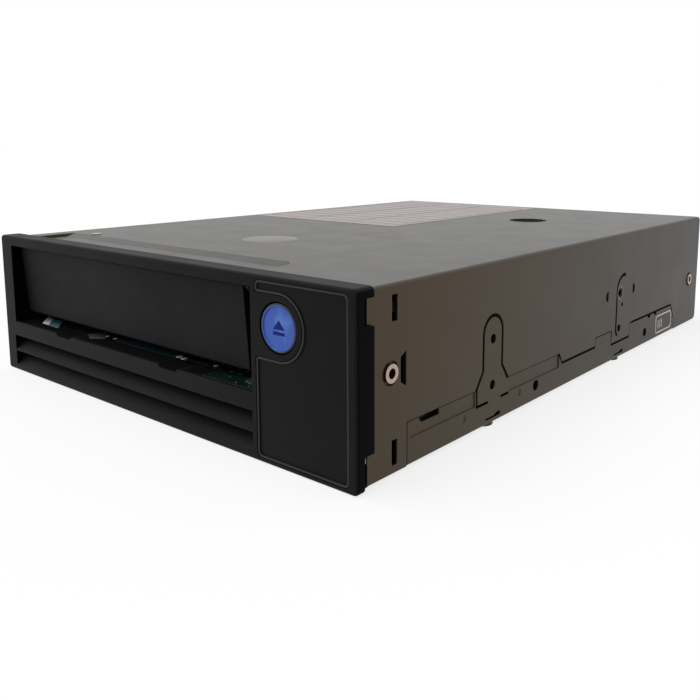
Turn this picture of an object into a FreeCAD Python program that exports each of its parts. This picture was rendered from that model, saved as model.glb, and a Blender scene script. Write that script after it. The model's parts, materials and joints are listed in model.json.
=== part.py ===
import FreeCAD, Part
import math
import os
import re

import Sketcher

# Half-height cartridge tape drive for a 5.25-inch bay.
# X runs to the right seen from the front, Z up. Depths (every Y size below) are measured rearwards
# from the bezel's front face; each piece's placement then moves that face to half the drive's depth
# in front of the origin, which lies under the middle of the drive, on the surface it stands on.

SIZES = {
    # Bezel, moulded in one piece.
    "bezel_width": 148.0,
    "bezel_height": 42.6,
    "bezel_depth": 5.5,
    "bezel_skin": 2.0,
    "bezel_edge_round": 0.7,
    "bezel_corner_round": 1.2,
    "slot_side": 6.5,
    "slot_right": 43.0,
    "slot_sill": 15.8,
    "slot_top": 39.7,
    "sill_notch_depth": 0.8,
    "sill_notch_width": 9.6,
    "sill_notch_slope": 1.4,
    "sill_notch_left": 38.7,
    "sill_notch_right": 11.5,
    "louvre_side": 5.5,
    "louvre_top_upper": 11.4,
    "louvre_top_lower": 6.4,
    "louvre_height": 4.6,
    "louvre_slope_depth": 3.2,
    "louvre_slit": 1.5,
    "bezel_notch_depth": 3.0,
    "bezel_wall": 1.2,
    "bezel_notch_width": 1.9,
    "tongue_high_bottom": 34.5,
    "tongue_high_top": 40.4,
    "tongue_low_top": 7.8,
    "tongue_reach": 1.2,
    # Status panel, set into the bezel beside the slot.
    "panel_left": 44.4,
    "panel_side": 2.0,
    "panel_bottom": 1.1,
    "panel_top": 41.6,
    "panel_sheet": 0.7,
    "panel_rim": 0.8,
    "panel_round": 1.4,
    "panel_rim_height": 0.2,
    "panel_fit": 0.12,
    "panel_sink": 0.1,
    # Eject button.
    "button_x": 51.8,
    "button_z": 31.6,
    "button_radius": 5.5,
    "button_gap": 0.3,
    "button_ring": 7.1,
    "button_flange": 1.0,
    "button_flange_wall": 0.8,
    "button_stem_radius": 1.5,
    "button_travel": 1.2,
    "button_rim": 0.7,
    "button_dish": 0.25,
    "button_spring": 4.9,
    "button_spring_wire": 0.5,
    "spring_seat": 0.1,
    "button_round": 0.4,
    # Cartridge door, hung from a pin along its top edge.
    "door_side_gap": 1.0,
    "door_right": 37.6,
    "door_bottom": 18.5,
    "door_recess": 2.7,
    "door_sheet": 1.6,
    "door_tilt": 1.5,
    "door_barrel": 1.0,
    "door_pin_radius": 0.5,
    "door_pin_z": 38.6,
    "door_pin_seat": 1.0,
    "door_spring_wire": 0.18,
    "door_spring_gap": 0.9,
    "spring_turns": 4,
    "running_gap": 0.05,
    "door_round": 0.6,
    # Case: a cover folded over a base tray.
    "case_width": 146.0,
    "case_length": 204.5,
    "case_height": 41.3,
    "base_lift": 0.65,
    "cover_sheet": 0.8,
    "base_sheet": 1.0,
    "fold_radius": 1.3,
    "base_round": 0.6,
    "lap_gap": 0.1,
    "seam_gap": 0.3,
    "skirt_foot": 0.1,
    "seam_front": 17.5,
    "seam_height": 10.9,
    "seam_rear_inset": 29.0,
    "seam_rear_run": 4.0,
    "seam_rear_drop": 6.0,
    "step_front": 89.5,
    "step_run": 2.0,
    "step_height": 8.0,
    "step_rear": 114.0,
    "lap_front": 126.5,
    "lap_rear": 141.0,
    "lap_height": 6.3,
    "ear_half_width": 4.1,
    "ear_slit": 0.75,
    "ear_foot": 15.0,
    "ear_flare": 3.1,
    "ear_shoulder": 24.0,
    "lance_ahead": 2.85,
    "lance_round": 5.6,
    "lance_shoulder": 23.0,
    "lance_hook": 2.0,
    "lance_bottom": 8.2,
    "lance_slit": 0.8,
    "lance_start": 75.0,
    "lance_end": 260.0,
    "lance_ring": 2.4,
    "lance_ring_depth": 0.15,
    "pilot_radius": 0.75,
    "pilot_behind": 1.9,
    "pilot_z": 18.3,
    "moon_ahead": 9.6,
    "moon_behind": 10.8,
    "moon_height": 1.5,
    "moon_width": 1.0,
    "skirt_round": 2.0,
    # Pressings and cut-outs of the tray's side flange.
    "joggle_height": 6.8,
    "joggle_depth": 0.25,
    "joggle_inset": 0.8,
    "window_front": 22.3,
    "window_rear": 30.0,
    "window_low": 9.2,
    "window_slope": 0.9,
    "ear_slot": 0.75,
    "ear_slot_low": 6.2,
    "ear_slot_ahead": 7.6,
    "ear_slot_run": 5.7,
    "ear_relief": 4.1,
    "ear_relief_run": 4.0,
    "flange_hole": 1.5,
    "flange_hole_z": 4.9,
    "flange_hole_front": 75.8,
    "flange_hole_rear": 155.6,
    "pip_radius": 1.0,
    "pip_depth": 0.15,
    "pip_z": 5.2,
    "pip_front": 40.0,
    "pip_rear": 66.5,
    "catch_ahead": 3.0,
    "catch_run": 7.0,
    "catch_low": 1.9,
    "catch_height": 1.1,
    "catch_point": 1.5,
    "top_notch_depth": 1.4,
    "top_notch_front_inset": 52.0,
    "top_notch_rear_inset": 46.0,
    "top_notch_width": 2.4,
    "frame_front_inset": 44.0,
    "frame_rear_inset": 28.0,
    "frame_low": 2.0,
    "frame_high": 8.8,
    "frame_corner": 1.4,
    "frame_width": 0.6,
    "frame_depth": 0.3,
    "vent_slot_front": 12.3,
    "vent_slot_width": 1.9,
    "vent_slot_height": 5.7,
    "vent_slot_high": 34.0,
    "vent_slot_low": 2.5,
    "hook_slot_front": 15.3,
    "hook_slot_rear": 17.3,
    "hook_slot_bottom": 20.3,
    "hook_slot_height": 5.5,
    "hook_slot_flare": 1.2,
    "ledge_left": 66.0,
    "ledge_right": 38.0,
    "ledge_flat": 11.0,
    "ledge_rise": 4.0,
    "ledge_depth": 0.8,
    "ledge_round": 6.0,
    "dimple_large": 8.5,
    "dimple_large_x": 5.0,
    "dimple_large_y": 50.0,
    "dimple_small": 6.5,
    "dimple_small_x": 15.0,
    "dimple_small_y": 79.0,
    "dimple_depth": 0.5,
    "cover_hole": 5.6,
    "cover_hole_rim": 1.5,
    "cover_hole_x": 27.0,
    "cover_hole_y": 153.0,
    # Bay fixings of a 5.25-inch drive: M3 threads in both sides and in the bottom.
    "fixing_front": 47.4,
    "fixing_pitch": 79.25,
    "fixing_low": 10.0,
    "fixing_rise": 11.84,
    "fixing_bottom_inset": 3.15,
    "thread_radius": 1.25,
    "thread_wall": 1.1,
    "thread_collar": 1.4,
    "foot_radius": 3.0,
    # Screws.
    "screw_head": 2.1,
    "screw_rim": 0.6,
    "screw_head_height": 1.1,
    "screw_shank": 1.4,
    "screw_length": 3.6,
    "screw_recess": 0.7,
    "screw_socket": 1.15,
    "screw_socket_depth": 0.7,
    "screw_clearance": 0.1,
    "screw_seat_wall": 0.4,
    "side_screw_front": 12.0,
    "side_screw_front_z": 23.0,
    "side_screw_rear_inset": 9.7,
    "side_screw_rear_z": 18.0,
    "inner_tab_front": 7.0,
    "inner_tab_front_top": 27.0,
    "inner_tab_rear_ahead": 10.0,
    "inner_tab_rear_behind": 8.0,
    "inner_tab_rear_top": 22.5,
    "top_screw_x": 56.6,
    "top_screw_y": 22.5,
    "rivet_radius": 1.6,
    "rivet_height": 0.3,
    # Rear panel.
    "rear_sheet": 1.0,
    "rear_gap": 0.1,
    "rear_flange": 14.0,
    "rear_flange_low": 12.0,
    "guard_inner": 5.0,
    "guard_outer": 10.6,
    "guard_bar": 1.3,
    # Deck plate on posts.
    "deck_level": 8.0,
    "deck_sheet": 1.6,
    "deck_side_gap": 2.2,
    "deck_front": 8.5,
    "deck_rear_inset": 19.0,
    "deck_post": 2.9,
    "post_clearance": 0.4,
    "deck_post_inset": 6.0,
    "deck_post_front": 16.0,
    "deck_post_middle_inset": 54.0,
    "deck_post_rear_inset": 24.0,
    "deck_window_left": 57.0,
    "deck_window_right": 36.0,
    "deck_window_rear": 36.0,
    "board_post": 2.0,
    "board_post_inset": 15.0,
    "board_post_front": 112.0,
    "board_post_rear_inset": 22.0,
    "motor_post_left": 50.0,
    "motor_post_right": 30.0,
    "motor_post_front": 18.0,
    "motor_post_rear": 92.0,
    # Cartridge space and loader.
    "cartridge_centre": 12.25,
    "cartridge_width": 105.4,
    "cartridge_height": 21.5,
    "cartridge_level": 16.0,
    "cartridge_side_gap": 0.3,
    "cartridge_top_gap": 0.5,
    "loader_sheet": 0.8,
    "tray_front": 27.0,
    "tray_length": 62.0,
    "tray_lip": 5.0,
    "tray_drop": 5.0,
    "tray_window": 30.0,
    "tray_bridge": 14.0,
    "loader_travel": 20.0,
    "cam_travel": 8.0,
    "loader_gap": 0.3,
    "tray_pin": 1.2,
    "tray_pin_level": 27.0,
    "tray_pin_inset": 10.0,
    "tray_pin_gap": 0.06,
    "carriage_foot": 14.0,
    "carriage_bridge": 26.0,
    "carriage_edge": 3.0,
    "cam_bottom": 18.0,
    "cam_top": 31.0,
    "rail_top": 20.0,
    "rail_sheet": 1.0,
    "rail_inset": 0.1,
    "rail_spare": 3.0,
    "rack_bottom": 33.0,
    "rack_height": 4.0,
    "rack_back": 2.2,
    "rack_start": 27.4,
    "rack_teeth": 11,
    "pressure_angle": 20.0,
    # Loader gears.
    "rack_module": 0.8,
    "pinion_teeth": 16,
    "wheel_module": 0.6,
    "wheel_teeth": 24,
    "motor_teeth": 10,
    "wheel_level": 27.5,
    "wheel_face": 3.0,
    "gear_y": 50.0,
    "gear_shaft": 1.5,
    "gear_boss": 2.6,
    "motor_angle": 50.0,
    "motor_radius": 6.0,
    "motor_height": 15.0,
    "motor_shaft": 0.75,
    "motor_shaft_depth": 3.0,
    "motor_neck": 1.0,
    "motor_neck_radius": 2.2,
    "tooth_backlash": 0.16,
    # Supply reel drive.
    "supply_y": 58.0,
    "chuck_radius": 17.0,
    "chuck_top": 14.6,
    "chuck_teeth": 12,
    "chuck_tooth": 1.2,
    "chuck_ring": 5.0,
    "chuck_dish": 0.6,
    "chuck_seat": 0.3,
    "chuck_gap": 1.0,
    "chuck_tooth_inset": 0.2,
    "chuck_tooth_taper": 0.9,
    "end_gap": 0.2,
    "spindle_radius": 2.0,
    "stator_radius": 19.0,
    "stator_height": 2.8,
    "motor_board_level": 3.4,
    "motor_board_left": 56.0,
    "motor_board_right": 36.0,
    "motor_board_front": 12.0,
    "motor_board_rear": 98.0,
    "board_sheet": 1.6,
    # Take-up reel.
    "takeup_x": 12.0,
    "takeup_y": 158.5,
    "takeup_radius": 46.5,
    "takeup_hub": 22.0,
    "takeup_level": 15.1,
    "takeup_flange": 1.2,
    "reel_wall": 2.0,
    "reel_web": 2.0,
    "hub_slot": 8.0,
    "tape_width": 12.65,
    "takeup_stator_radius": 20.0,
    "takeup_stator_height": 4.4,
    # Tape path.
    "path_plate": 3.0,
    "path_left": 46.0,
    "path_right": 70.5,
    "path_front": 89.0,
    "path_rear": 150.0,
    "path_chamfer": 3.0,
    "roller_in_x": 50.5,
    "roller_in_y": 96.0,
    "roller_front_x": 65.0,
    "roller_front_y": 103.5,
    "roller_rear_x": 65.0,
    "roller_rear_y": 135.5,
    "roller_out_x": 55.0,
    "roller_out_y": 144.0,
    "column_reach": 5.4,
    "column_width": 3.4,
    "column_depth": 12.0,
    "rod_seat": 1.5,
    "roller_radius": 4.4,
    "roller_flange": 5.4,
    "roller_flange_height": 1.2,
    "roller_post": 1.5,
    "roller_level": 15.0,
    "roller_seat": 2.6,
    # Head and its lift.
    "head_y": 119.5,
    "head_left": 62.0,
    "head_right": 70.4,
    "head_depth": 8.0,
    "head_height": 14.0,
    "head_middle": 24.5,
    "head_nose": 1.5,
    "carriage_left": 50.0,
    "carriage_depth": 15.0,
    "carriage_height": 9.0,
    "guide_rod": 1.25,
    "guide_rod_x": 56.5,
    "guide_rod_spread": 5.5,
    "lead_screw": 1.5,
    "lead_screw_x": 51.5,
    "lead_screw_end": 1.0,
    "head_bracket_level": 34.8,
    "head_bracket_sheet": 1.2,
    "bracket_margin": 1.0,
    "bracket_lip": 2.5,
    "bracket_flare": 2.0,
    "stepper_radius": 5.0,
    "stepper_height": 4.4,
    # Electronics.
    "main_board_level": 3.4,
    "main_board_front": 104.0,
    "main_board_rear_inset": 3.5,
    "main_board_side": 5.0,
    "fan_clearance": 1.5,
    "chip_height": 1.4,
    "processor_x": 34.0,
    "processor_y": 128.0,
    "processor_size": 24.0,
    "servo_chip_x": 40.0,
    "servo_chip_y": 160.0,
    "servo_chip_size": 18.0,
    "driver_x": 44.0,
    "driver_y": 160.0,
    "driver_size": 16.0,
    "interface_x": 20.0,
    "interface_inset": 26.0,
    "interface_size": 12.0,
    "memory_x": 2.0,
    "memory_y": 122.0,
    "memory_pitch": 22.0,
    "memory_width": 14.0,
    "memory_length": 20.0,
    "front_board_y": 9.0,
    "front_board_left": 45.6,
    "front_board_right": 69.8,
    "front_board_bottom": 11.0,
    "front_board_top": 40.0,
    "switch_size": 6.0,
    "switch_body": 1.8,
    "switch_plunger": 1.0,
    "lamp_x": 64.0,
    "lamp_z": 32.0,
    "lamp_pitch": 6.0,
    "lamp_size": 2.0,
    "lamp_height": 1.0,
    "lamp_count": 3,
    "jack_inset": 12.5,
    "jack_width": 15.8,
    "jack_height": 13.4,
    "jack_length": 15.6,
    "jack_mouth_width": 11.8,
    "jack_mouth_height": 7.4,
    "jack_mouth_depth": 12.0,
    "host_inset": 47.0,
    "host_width": 42.0,
    "host_height": 6.6,
    "host_length": 8.4,
    "host_mouth_width": 38.0,
    "host_mouth_height": 4.2,
    "host_mouth_depth": 6.0,
    "port_x": 14.0,
    "port_width": 16.0,
    "port_height": 6.0,
    "port_length": 7.0,
    "port_mouth_width": 13.0,
    "port_mouth_height": 4.2,
    "port_mouth_depth": 5.5,
    # Fan.
    "fan_inset": 22.5,
    "fan_head_gap": 2.7,
    "fan_depth": 10.0,
    "fan_frame_wall": 1.4,
    "fan_hub": 8.0,
    "fan_tip_gap": 0.6,
    "fan_blades": 7,
    "fan_blade_sheet": 1.0,
    "fan_pin": 1.0,
    "fan_pin_end": 2.0,
    "fan_blade_root": 1.0,
    "fan_foot": 0.8,
    "fan_spider": 1.4,
    "fan_strut": 3.0,
    "fan_end_gap": 0.3,
    "fan_blade_chord": 8.0,
    "fan_pitch": 48.0,
    # Label on the cover.
    "label_inset": 4.0,
    "label_right": 2.0,
    "label_front": 102.0,
    "label_rear_inset": 4.0,
    "label_sheet": 0.1,
}

HALF_BEZEL = "(bezel_width / 2)"
HALF_CASE = "(case_width / 2)"
REAR = "(bezel_depth + case_length)"
FAN_SIZE = "(case_height - cover_sheet - base_sheet - fan_foot - fan_head_gap)"

# Places and sizes that follow the bezel or the case, each at a named distance from its edge.
FOLLOWS = {
    "slot_left": f"({HALF_BEZEL} - slot_side)",
    "louvre_left": f"({HALF_BEZEL} - louvre_side)",
    "panel_right": f"({HALF_BEZEL} - panel_side)",
    "door_left": f"({HALF_BEZEL} - slot_side - door_side_gap)",
    "deck_post_x": f"({HALF_CASE} - deck_post_inset)",
    "board_post_x": f"({HALF_CASE} - board_post_inset)",
    "fixing_bottom_pitch": "(case_width - 2 * fixing_bottom_inset)",
    "main_board_width": "(case_width - 2 * main_board_side)",
    "jack_x": f"({HALF_CASE} - jack_inset)",
    "host_x": f"({HALF_CASE} - host_inset)",
    "fan_x": f"({HALF_CASE} - fan_inset)",
    "label_left": f"({HALF_CASE} - label_inset)",
    "seam_rear": f"({REAR} - seam_rear_inset)",
    "side_screw_rear": f"({REAR} - side_screw_rear_inset)",
    "deck_rear": f"({REAR} - deck_rear_inset)",
    "deck_post_middle": f"({REAR} - deck_post_middle_inset)",
    "deck_post_rear": f"({REAR} - deck_post_rear_inset)",
    "board_post_rear": f"({REAR} - board_post_rear_inset)",
    "main_board_rear": f"({REAR} - main_board_rear_inset)",
    "interface_y": f"({REAR} - interface_inset)",
    "label_rear": f"({REAR} - label_rear_inset)",
    "frame_front": f"({REAR} - frame_front_inset)",
    "frame_rear": f"({REAR} - frame_rear_inset)",
    "top_notch_front": f"({REAR} - top_notch_front_inset)",
    "top_notch_middle": f"({REAR} - top_notch_rear_inset)",
    "fan_size": FAN_SIZE,
    "fan_bore": f"({FAN_SIZE} / 2 - fan_frame_wall)",
    "fan_tip": f"({FAN_SIZE} / 2 - fan_frame_wall - fan_tip_gap)",
}

NAME = re.compile(r"[A-Za-z_]\w*")
FUNCTIONS = ("sin", "cos", "tan", "sqrt", "pi")

doc = FreeCAD.newDocument("TapeDrive")
sheet = doc.addObject("Spreadsheet::Sheet", "dims")
for row, (alias, number) in enumerate(SIZES.items(), 1):
    sheet.set(f"A{row}", alias)
    sheet.set(f"B{row}", str(number))
    sheet.setAlias(f"B{row}", alias)
doc.recompute()

pieces = []
HALF_DEPTH = "(bezel_depth + case_length) / 2"
OVER = 1.0  # how far a cut runs past the face that it opens
SUNK = 0.5  # how far a boss starts inside the piece that carries it


def spelled(text):
    """A formula in which every name that follows another size is written out."""
    return NAME.sub(lambda m: FOLLOWS.get(m.group(0), m.group(0)), str(text))


def bound(text):
    """Turn a formula in plain size names into an expression on the sheet."""
    return NAME.sub(lambda m: m.group(0) if m.group(0) in FUNCTIONS else "dims." + m.group(0), spelled(text))


def size(text):
    """The value of a formula in millimetres."""
    return float(sheet.evalExpression(bound(text)))


def bind(thing, **formulas):
    """Bind properties to formulas; two underscores stand for a dot."""
    for key, text in formulas.items():
        thing.setExpression(key.replace("__", "."), bound(text))
    return thing


def kept(thing, label, x="0", y="0", z="0"):
    """Name a finished piece and place it in the drive's frame."""
    thing.Label = label
    bind(thing, Placement__Base__x=x, Placement__Base__y=f"({y}) - {HALF_DEPTH}", Placement__Base__z=z)
    pieces.append(thing)
    return thing


# ---- Sketched bodies ---------------------------------------------------------------------------

PLANES = {"top": "XY_Plane", "front": "XZ_Plane", "side": "YZ_Plane"}


def new_body(label, x="0", y="0", z="0"):
    body = doc.addObject("PartDesign::Body", label)
    return kept(body, label, x, y, z)


def draw(sketch, loops):
    """Closed outlines of straight edges, and circles given as ("circle", x, y, radius)."""
    rules = []
    formulas = []
    for loop in loops:
        if loop[0] == "circle":
            x, y, radius = loop[1:]
            centre = FreeCAD.Vector(size(x), size(y), 0)
            edge = sketch.addGeometry(Part.Circle(centre, FreeCAD.Vector(0, 0, 1), size(radius)), False)
            rules += [
                Sketcher.Constraint("DistanceX", edge, 3, centre.x),
                Sketcher.Constraint("DistanceY", edge, 3, centre.y),
                Sketcher.Constraint("Radius", edge, size(radius)),
            ]
            formulas += [x, y, radius]
            continue
        corners = [FreeCAD.Vector(size(x), size(y), 0) for x, y in loop]
        ends = corners[1:] + corners[:1]
        edges = [sketch.addGeometry(Part.LineSegment(a, b), False) for a, b in zip(corners, ends)]
        for edge, after in zip(edges, edges[1:] + edges[:1]):
            rules.append(Sketcher.Constraint("Coincident", edge, 2, after, 1))
            formulas.append(None)
        for edge, corner, (x, y) in zip(edges, corners, loop):
            rules += [
                Sketcher.Constraint("DistanceX", edge, 1, corner.x),
                Sketcher.Constraint("DistanceY", edge, 1, corner.y),
            ]
            formulas += [x, y]
    sketch.addConstraint(rules)
    for number, text in enumerate(formulas):
        if text is not None:
            sketch.setExpression(f"Constraints[{number}]", bound(text))


def origin_item(body, role):
    """One of the planes or axes that a body is drawn on."""
    return [item for item in body.Origin.OriginFeatures if item.Role == role][0]


def new_sketch(body, plane, start, loops):
    """A sketch parallel to a plane of its body, start millimetres along +X, +Y or +Z."""
    sketch = body.newObject("Sketcher::SketchObject", body.Name + "_sketch")
    sketch.AttachmentSupport = [(origin_item(body, PLANES[plane]), "")]
    sketch.MapMode = "FlatFace"
    sign = "-" if plane == "front" else ""
    bind(sketch, AttachmentOffset__Base__z=f"{sign}({start})")
    draw(sketch, loops)
    return sketch


def pad(body, plane, start, length, *loops):
    """Add material from start, for length millimetres along the plane's positive axis."""
    feature = body.newObject("PartDesign::Pad", body.Name + "_pad")
    feature.Profile = new_sketch(body, plane, start, loops)
    feature.Reversed = plane == "front"
    return bind(feature, Length=length)


def cut(body, plane, start, length, *loops):
    """Remove material from start, for length millimetres along the plane's positive axis."""
    feature = body.newObject("PartDesign::Pocket", body.Name + "_cut")
    feature.Profile = new_sketch(body, plane, start, loops)
    feature.Reversed = plane != "front"
    return bind(feature, Length=length)


def turned(body, loop):
    """Revolve an outline of radius and height about the body's own Z axis."""
    feature = body.newObject("PartDesign::Revolution", body.Name + "_turn")
    sketch = new_sketch(body, "front", "0", [loop])
    feature.Profile = sketch
    feature.ReferenceAxis = (sketch, ["V_Axis"])
    feature.Angle = 360
    return feature


def round_edges(body, radius, chosen):
    """Fillet the edges that a test on their two ends picks out."""
    doc.recompute()
    names = []
    for number, edge in enumerate(body.Shape.Edges, 1):
        ends = [vertex.Point - body.Placement.Base for vertex in edge.Vertexes]
        if chosen(ends[0], ends[-1]):
            names.append(f"Edge{number}")
    base = body.Tip
    feature = body.newObject("PartDesign::Fillet", body.Name + "_round")
    feature.Base = (base, names)
    return bind(feature, Radius=radius)


def rectangle(left, right, low, high):
    return [(left, low), (right, low), (right, high), (left, high)]


def hexagon(x, y, radius):
    """A regular hexagon round a point, as standoffs and press nuts have, given by its corner radius."""
    angles = [60 * step for step in range(6)]
    return [(f"{x} + ({radius}) * cos({angle})", f"{y} + ({radius}) * sin({angle})") for angle in angles]


RIGHTWARD, UPWARD, LEFTWARD = 0, 90, 180
ARC_STEPS = 6


def arc(x, y, radius, first, last):
    """Points along a circle's arc, from one angle in degrees to another."""
    turns = [f"{first} + ({last} - {first}) * {step} / {ARC_STEPS}" for step in range(ARC_STEPS + 1)]
    return [(f"{x} + ({radius}) * cos({turn})", f"{y} + ({radius}) * sin({turn})") for turn in turns]


def clipped(left, right, low, high, corner):
    """A rectangle with its corners cut off."""
    return [
        (left, f"{low} + {corner}"), (f"{left} + {corner}", low),
        (f"{right} - {corner}", low), (right, f"{low} + {corner}"),
        (right, f"{high} - {corner}"), (f"{right} - {corner}", high),
        (f"{left} + {corner}", high), (left, f"{high} - {corner}"),
    ]


def near(value, text):
    return abs(value - size(text)) < 1e-4


# ---- Primitives --------------------------------------------------------------------------------


def block(left, right, front, rear, bottom, top):
    """A plain block between two corners."""
    thing = doc.addObject("Part::Box", "block")
    bind(thing, Length=f"({right}) - ({left})", Width=f"({rear}) - ({front})")
    bind(thing, Height=f"({top}) - ({bottom})")
    return bind(thing, Placement__Base__x=left, Placement__Base__y=front, Placement__Base__z=bottom)


TURNS = {
    "up": FreeCAD.Rotation(),
    "rearwards": FreeCAD.Rotation(FreeCAD.Vector(1, 0, 0), -90),
    "right": FreeCAD.Rotation(FreeCAD.Vector(0, 1, 0), 90),
    "left": FreeCAD.Rotation(FreeCAD.Vector(0, 1, 0), -90),
}


def rod(x, y, z, radius, length, way="up"):
    """A cylinder that starts at a point and runs up, rearwards, right or left."""
    thing = doc.addObject("Part::Cylinder", "rod")
    thing.Placement = FreeCAD.Placement(FreeCAD.Vector(), TURNS[way])
    bind(thing, Radius=radius, Height=length)
    return bind(thing, Placement__Base__x=x, Placement__Base__y=y, Placement__Base__z=z)


def joined(shapes):
    thing = doc.addObject("Part::MultiFuse", "joined")
    thing.Shapes = shapes
    return thing


def without(base, tools):
    thing = doc.addObject("Part::Cut", "without")
    thing.Base = base
    thing.Tool = joined(tools) if len(tools) > 1 else tools[0]
    return thing


def group(label, shapes, x="0", y="0", z="0"):
    """One or more separate solids in one node."""
    thing = doc.addObject("Part::Compound", label)
    thing.Links = shapes
    return kept(thing, label, x, y, z)


# ---- Bezel and what it carries -----------------------------------------------------------------

PIN_Y = "(door_recess + door_barrel)"


def at_corner(point, outline):
    """Whether a point stands on a corner of an outline drawn in the front plane."""
    return any(near(point.x, x) and near(point.z, z) for x, z in outline)


def status_notch(grow):
    """The straight part of the panel's notch round the eject button."""
    reach = f"(button_ring + {grow})"
    start = f"panel_left - {grow} - {OVER}"
    return rectangle(start, "button_x", f"button_z - {reach}", f"button_z + {reach}")


def sill_notch(middle):
    """A shallow trapezium in the slot's sill."""
    wide = "sill_notch_width / 2"
    low = "slot_sill - sill_notch_depth"
    return [
        (f"{middle} - {wide} + sill_notch_slope", low),
        (f"{middle} + {wide} - sill_notch_slope", low),
        (f"{middle} + {wide}", f"slot_sill + {OVER}"),
        (f"{middle} - {wide}", f"slot_sill + {OVER}"),
    ]


def build_bezel():
    body = new_body("bezel")
    pad(body, "front", "0", "bezel_depth", rectangle(f"-{HALF_BEZEL}", HALF_BEZEL, "0", "bezel_height"))
    round_edges(body, "bezel_corner_round", lambda a, b: abs(a.y - b.y) > 1)
    round_edges(body, "bezel_edge_round", lambda a, b: near(a.y, "0") and near(b.y, "0"))
    slot = rectangle("-slot_left", "slot_right", "slot_sill", "slot_top")
    cut(body, "front", f"-{OVER}", f"bezel_depth + 2 * {OVER}", slot)
    notches = [sill_notch("-sill_notch_left"), sill_notch("sill_notch_right")]
    cut(body, "front", f"-{OVER}", f"bezel_depth + 2 * {OVER}", *notches)
    for top in ("louvre_top_upper", "louvre_top_lower"):
        wedge = [
            ("0", f"{top} - louvre_height"),
            ("louvre_slope_depth", f"{top} - louvre_slit"),
            (f"bezel_depth + {OVER}", f"{top} - louvre_slit"),
            (f"bezel_depth + {OVER}", top),
            (f"-{OVER}", top),
            (f"-{OVER}", f"{top} - louvre_height"),
        ]
        cut(body, "side", "-louvre_left", "louvre_left + slot_right", wedge)
    hollow = rectangle(
        "slot_right + bezel_wall", f"{HALF_BEZEL} - bezel_wall", "bezel_wall", "bezel_height - bezel_wall"
    )
    cut(body, "front", "bezel_skin", "bezel_depth", hollow)
    ring = ("circle", "button_x", "button_z", "button_ring")
    pad(body, "front", "bezel_skin", "bezel_depth - bezel_skin", ring)
    plate = rectangle("panel_left", "panel_right", "panel_bottom", "panel_top")
    cut(body, "front", f"-{OVER}", f"{OVER} + panel_sink + panel_sheet", plate)
    round_edges(body, "panel_round", lambda a, b: (
        abs(a.y - b.y) > size("panel_sheet") / 2 and at_corner(a, plate) and at_corner(b, plate)))
    pad(body, "front", "0", "panel_sink + panel_sheet", status_notch("0"))
    pad(body, "front", "0", "panel_sink + panel_sheet", ring)
    hole = ("circle", "button_x", "button_z", "button_radius + button_gap")
    cut(body, "front", f"-{OVER}", f"bezel_depth + 2 * {OVER}", hole)
    pocket = "button_radius + button_flange_wall + running_gap"
    cut(body, "front", "bezel_skin", "bezel_depth", ("circle", "button_x", "button_z", pocket))
    front = "bezel_depth - bezel_notch_depth"
    tongues = [
        rectangle(front, f"bezel_depth + {OVER}", "tongue_high_bottom", "tongue_high_top"),
        rectangle(front, f"bezel_depth + {OVER}", f"-{OVER}", "tongue_low_top"),
    ]
    for start in (f"-{HALF_BEZEL} - {OVER}", f"{HALF_BEZEL} - bezel_notch_width"):
        cut(body, "side", start, f"{OVER} + bezel_notch_width", *tongues)
    pin_hole = ("circle", PIN_Y, "door_pin_z", "door_pin_radius + running_gap")
    cut(body, "side", "-slot_left - door_pin_seat", "slot_left + slot_right + 2 * door_pin_seat", pin_hole)


def build_status_panel():
    body = new_body("status_panel")
    fit = "panel_fit"
    plate = rectangle(
        f"panel_left + {fit}", f"panel_right - {fit}", f"panel_bottom + {fit}", f"panel_top - {fit}"
    )
    pad(body, "front", "panel_sink", "panel_sheet", plate)
    round_edges(body, f"panel_round - {fit}", lambda a, b: abs(a.y - b.y) > size("panel_sheet") / 2)
    low = "button_z - button_ring - panel_rim"
    high = "button_z + button_ring + panel_rim"
    field = [
        ("panel_left + panel_rim", "panel_bottom + panel_rim"),
        ("panel_right - panel_rim", "panel_bottom + panel_rim"),
        ("panel_right - panel_rim", "panel_top - panel_rim"),
        ("panel_left + panel_rim", "panel_top - panel_rim"),
        ("panel_left + panel_rim", high),
        ("button_x", high),
        ("button_x", low),
        ("panel_left + panel_rim", low),
    ]
    cut(body, "front", f"panel_sink - {OVER}", f"panel_rim_height + {OVER}", field)
    corners = field[:4]
    round_edges(body, "panel_round - panel_rim", lambda a, b: (
        abs(a.y - b.y) > size("panel_rim_height") / 2 and at_corner(a, corners) and at_corner(b, corners)))
    rim = ("circle", "button_x", "button_z", "button_ring + panel_rim")
    pad(body, "front", "panel_sink", "panel_sheet", rim)
    cut(body, "front", f"panel_sink - {OVER}", f"panel_sheet + 2 * {OVER}", status_notch(fit))
    edge = ("circle", "button_x", "button_z", f"button_ring + {fit}")
    cut(body, "front", f"panel_sink - {OVER}", f"panel_sheet + 2 * {OVER}", edge)


def build_eject_button():
    body = new_body("eject_button", "button_x", "0", "button_z")
    pad(body, "front", "0", "bezel_skin", ("circle", "0", "0", "button_radius"))
    flange = ("circle", "0", "0", "button_radius + button_flange_wall")
    pad(body, "front", "bezel_skin", "button_flange", flange)
    stem = ("circle", "0", "0", "button_stem_radius")
    plunger = "front_board_y - switch_body - switch_plunger"
    length = f"{plunger} - button_travel - spring_seat - bezel_skin - button_flange"
    pad(body, "front", "bezel_skin + button_flange", length, stem)
    round_edges(body, "button_round", lambda a, b: near(a.y, "0") and near(b.y, "0"))
    dish = ("circle", "0", "0", "button_radius - button_rim")
    cut(body, "front", f"-{OVER}", f"{OVER} + button_dish", dish)


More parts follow.
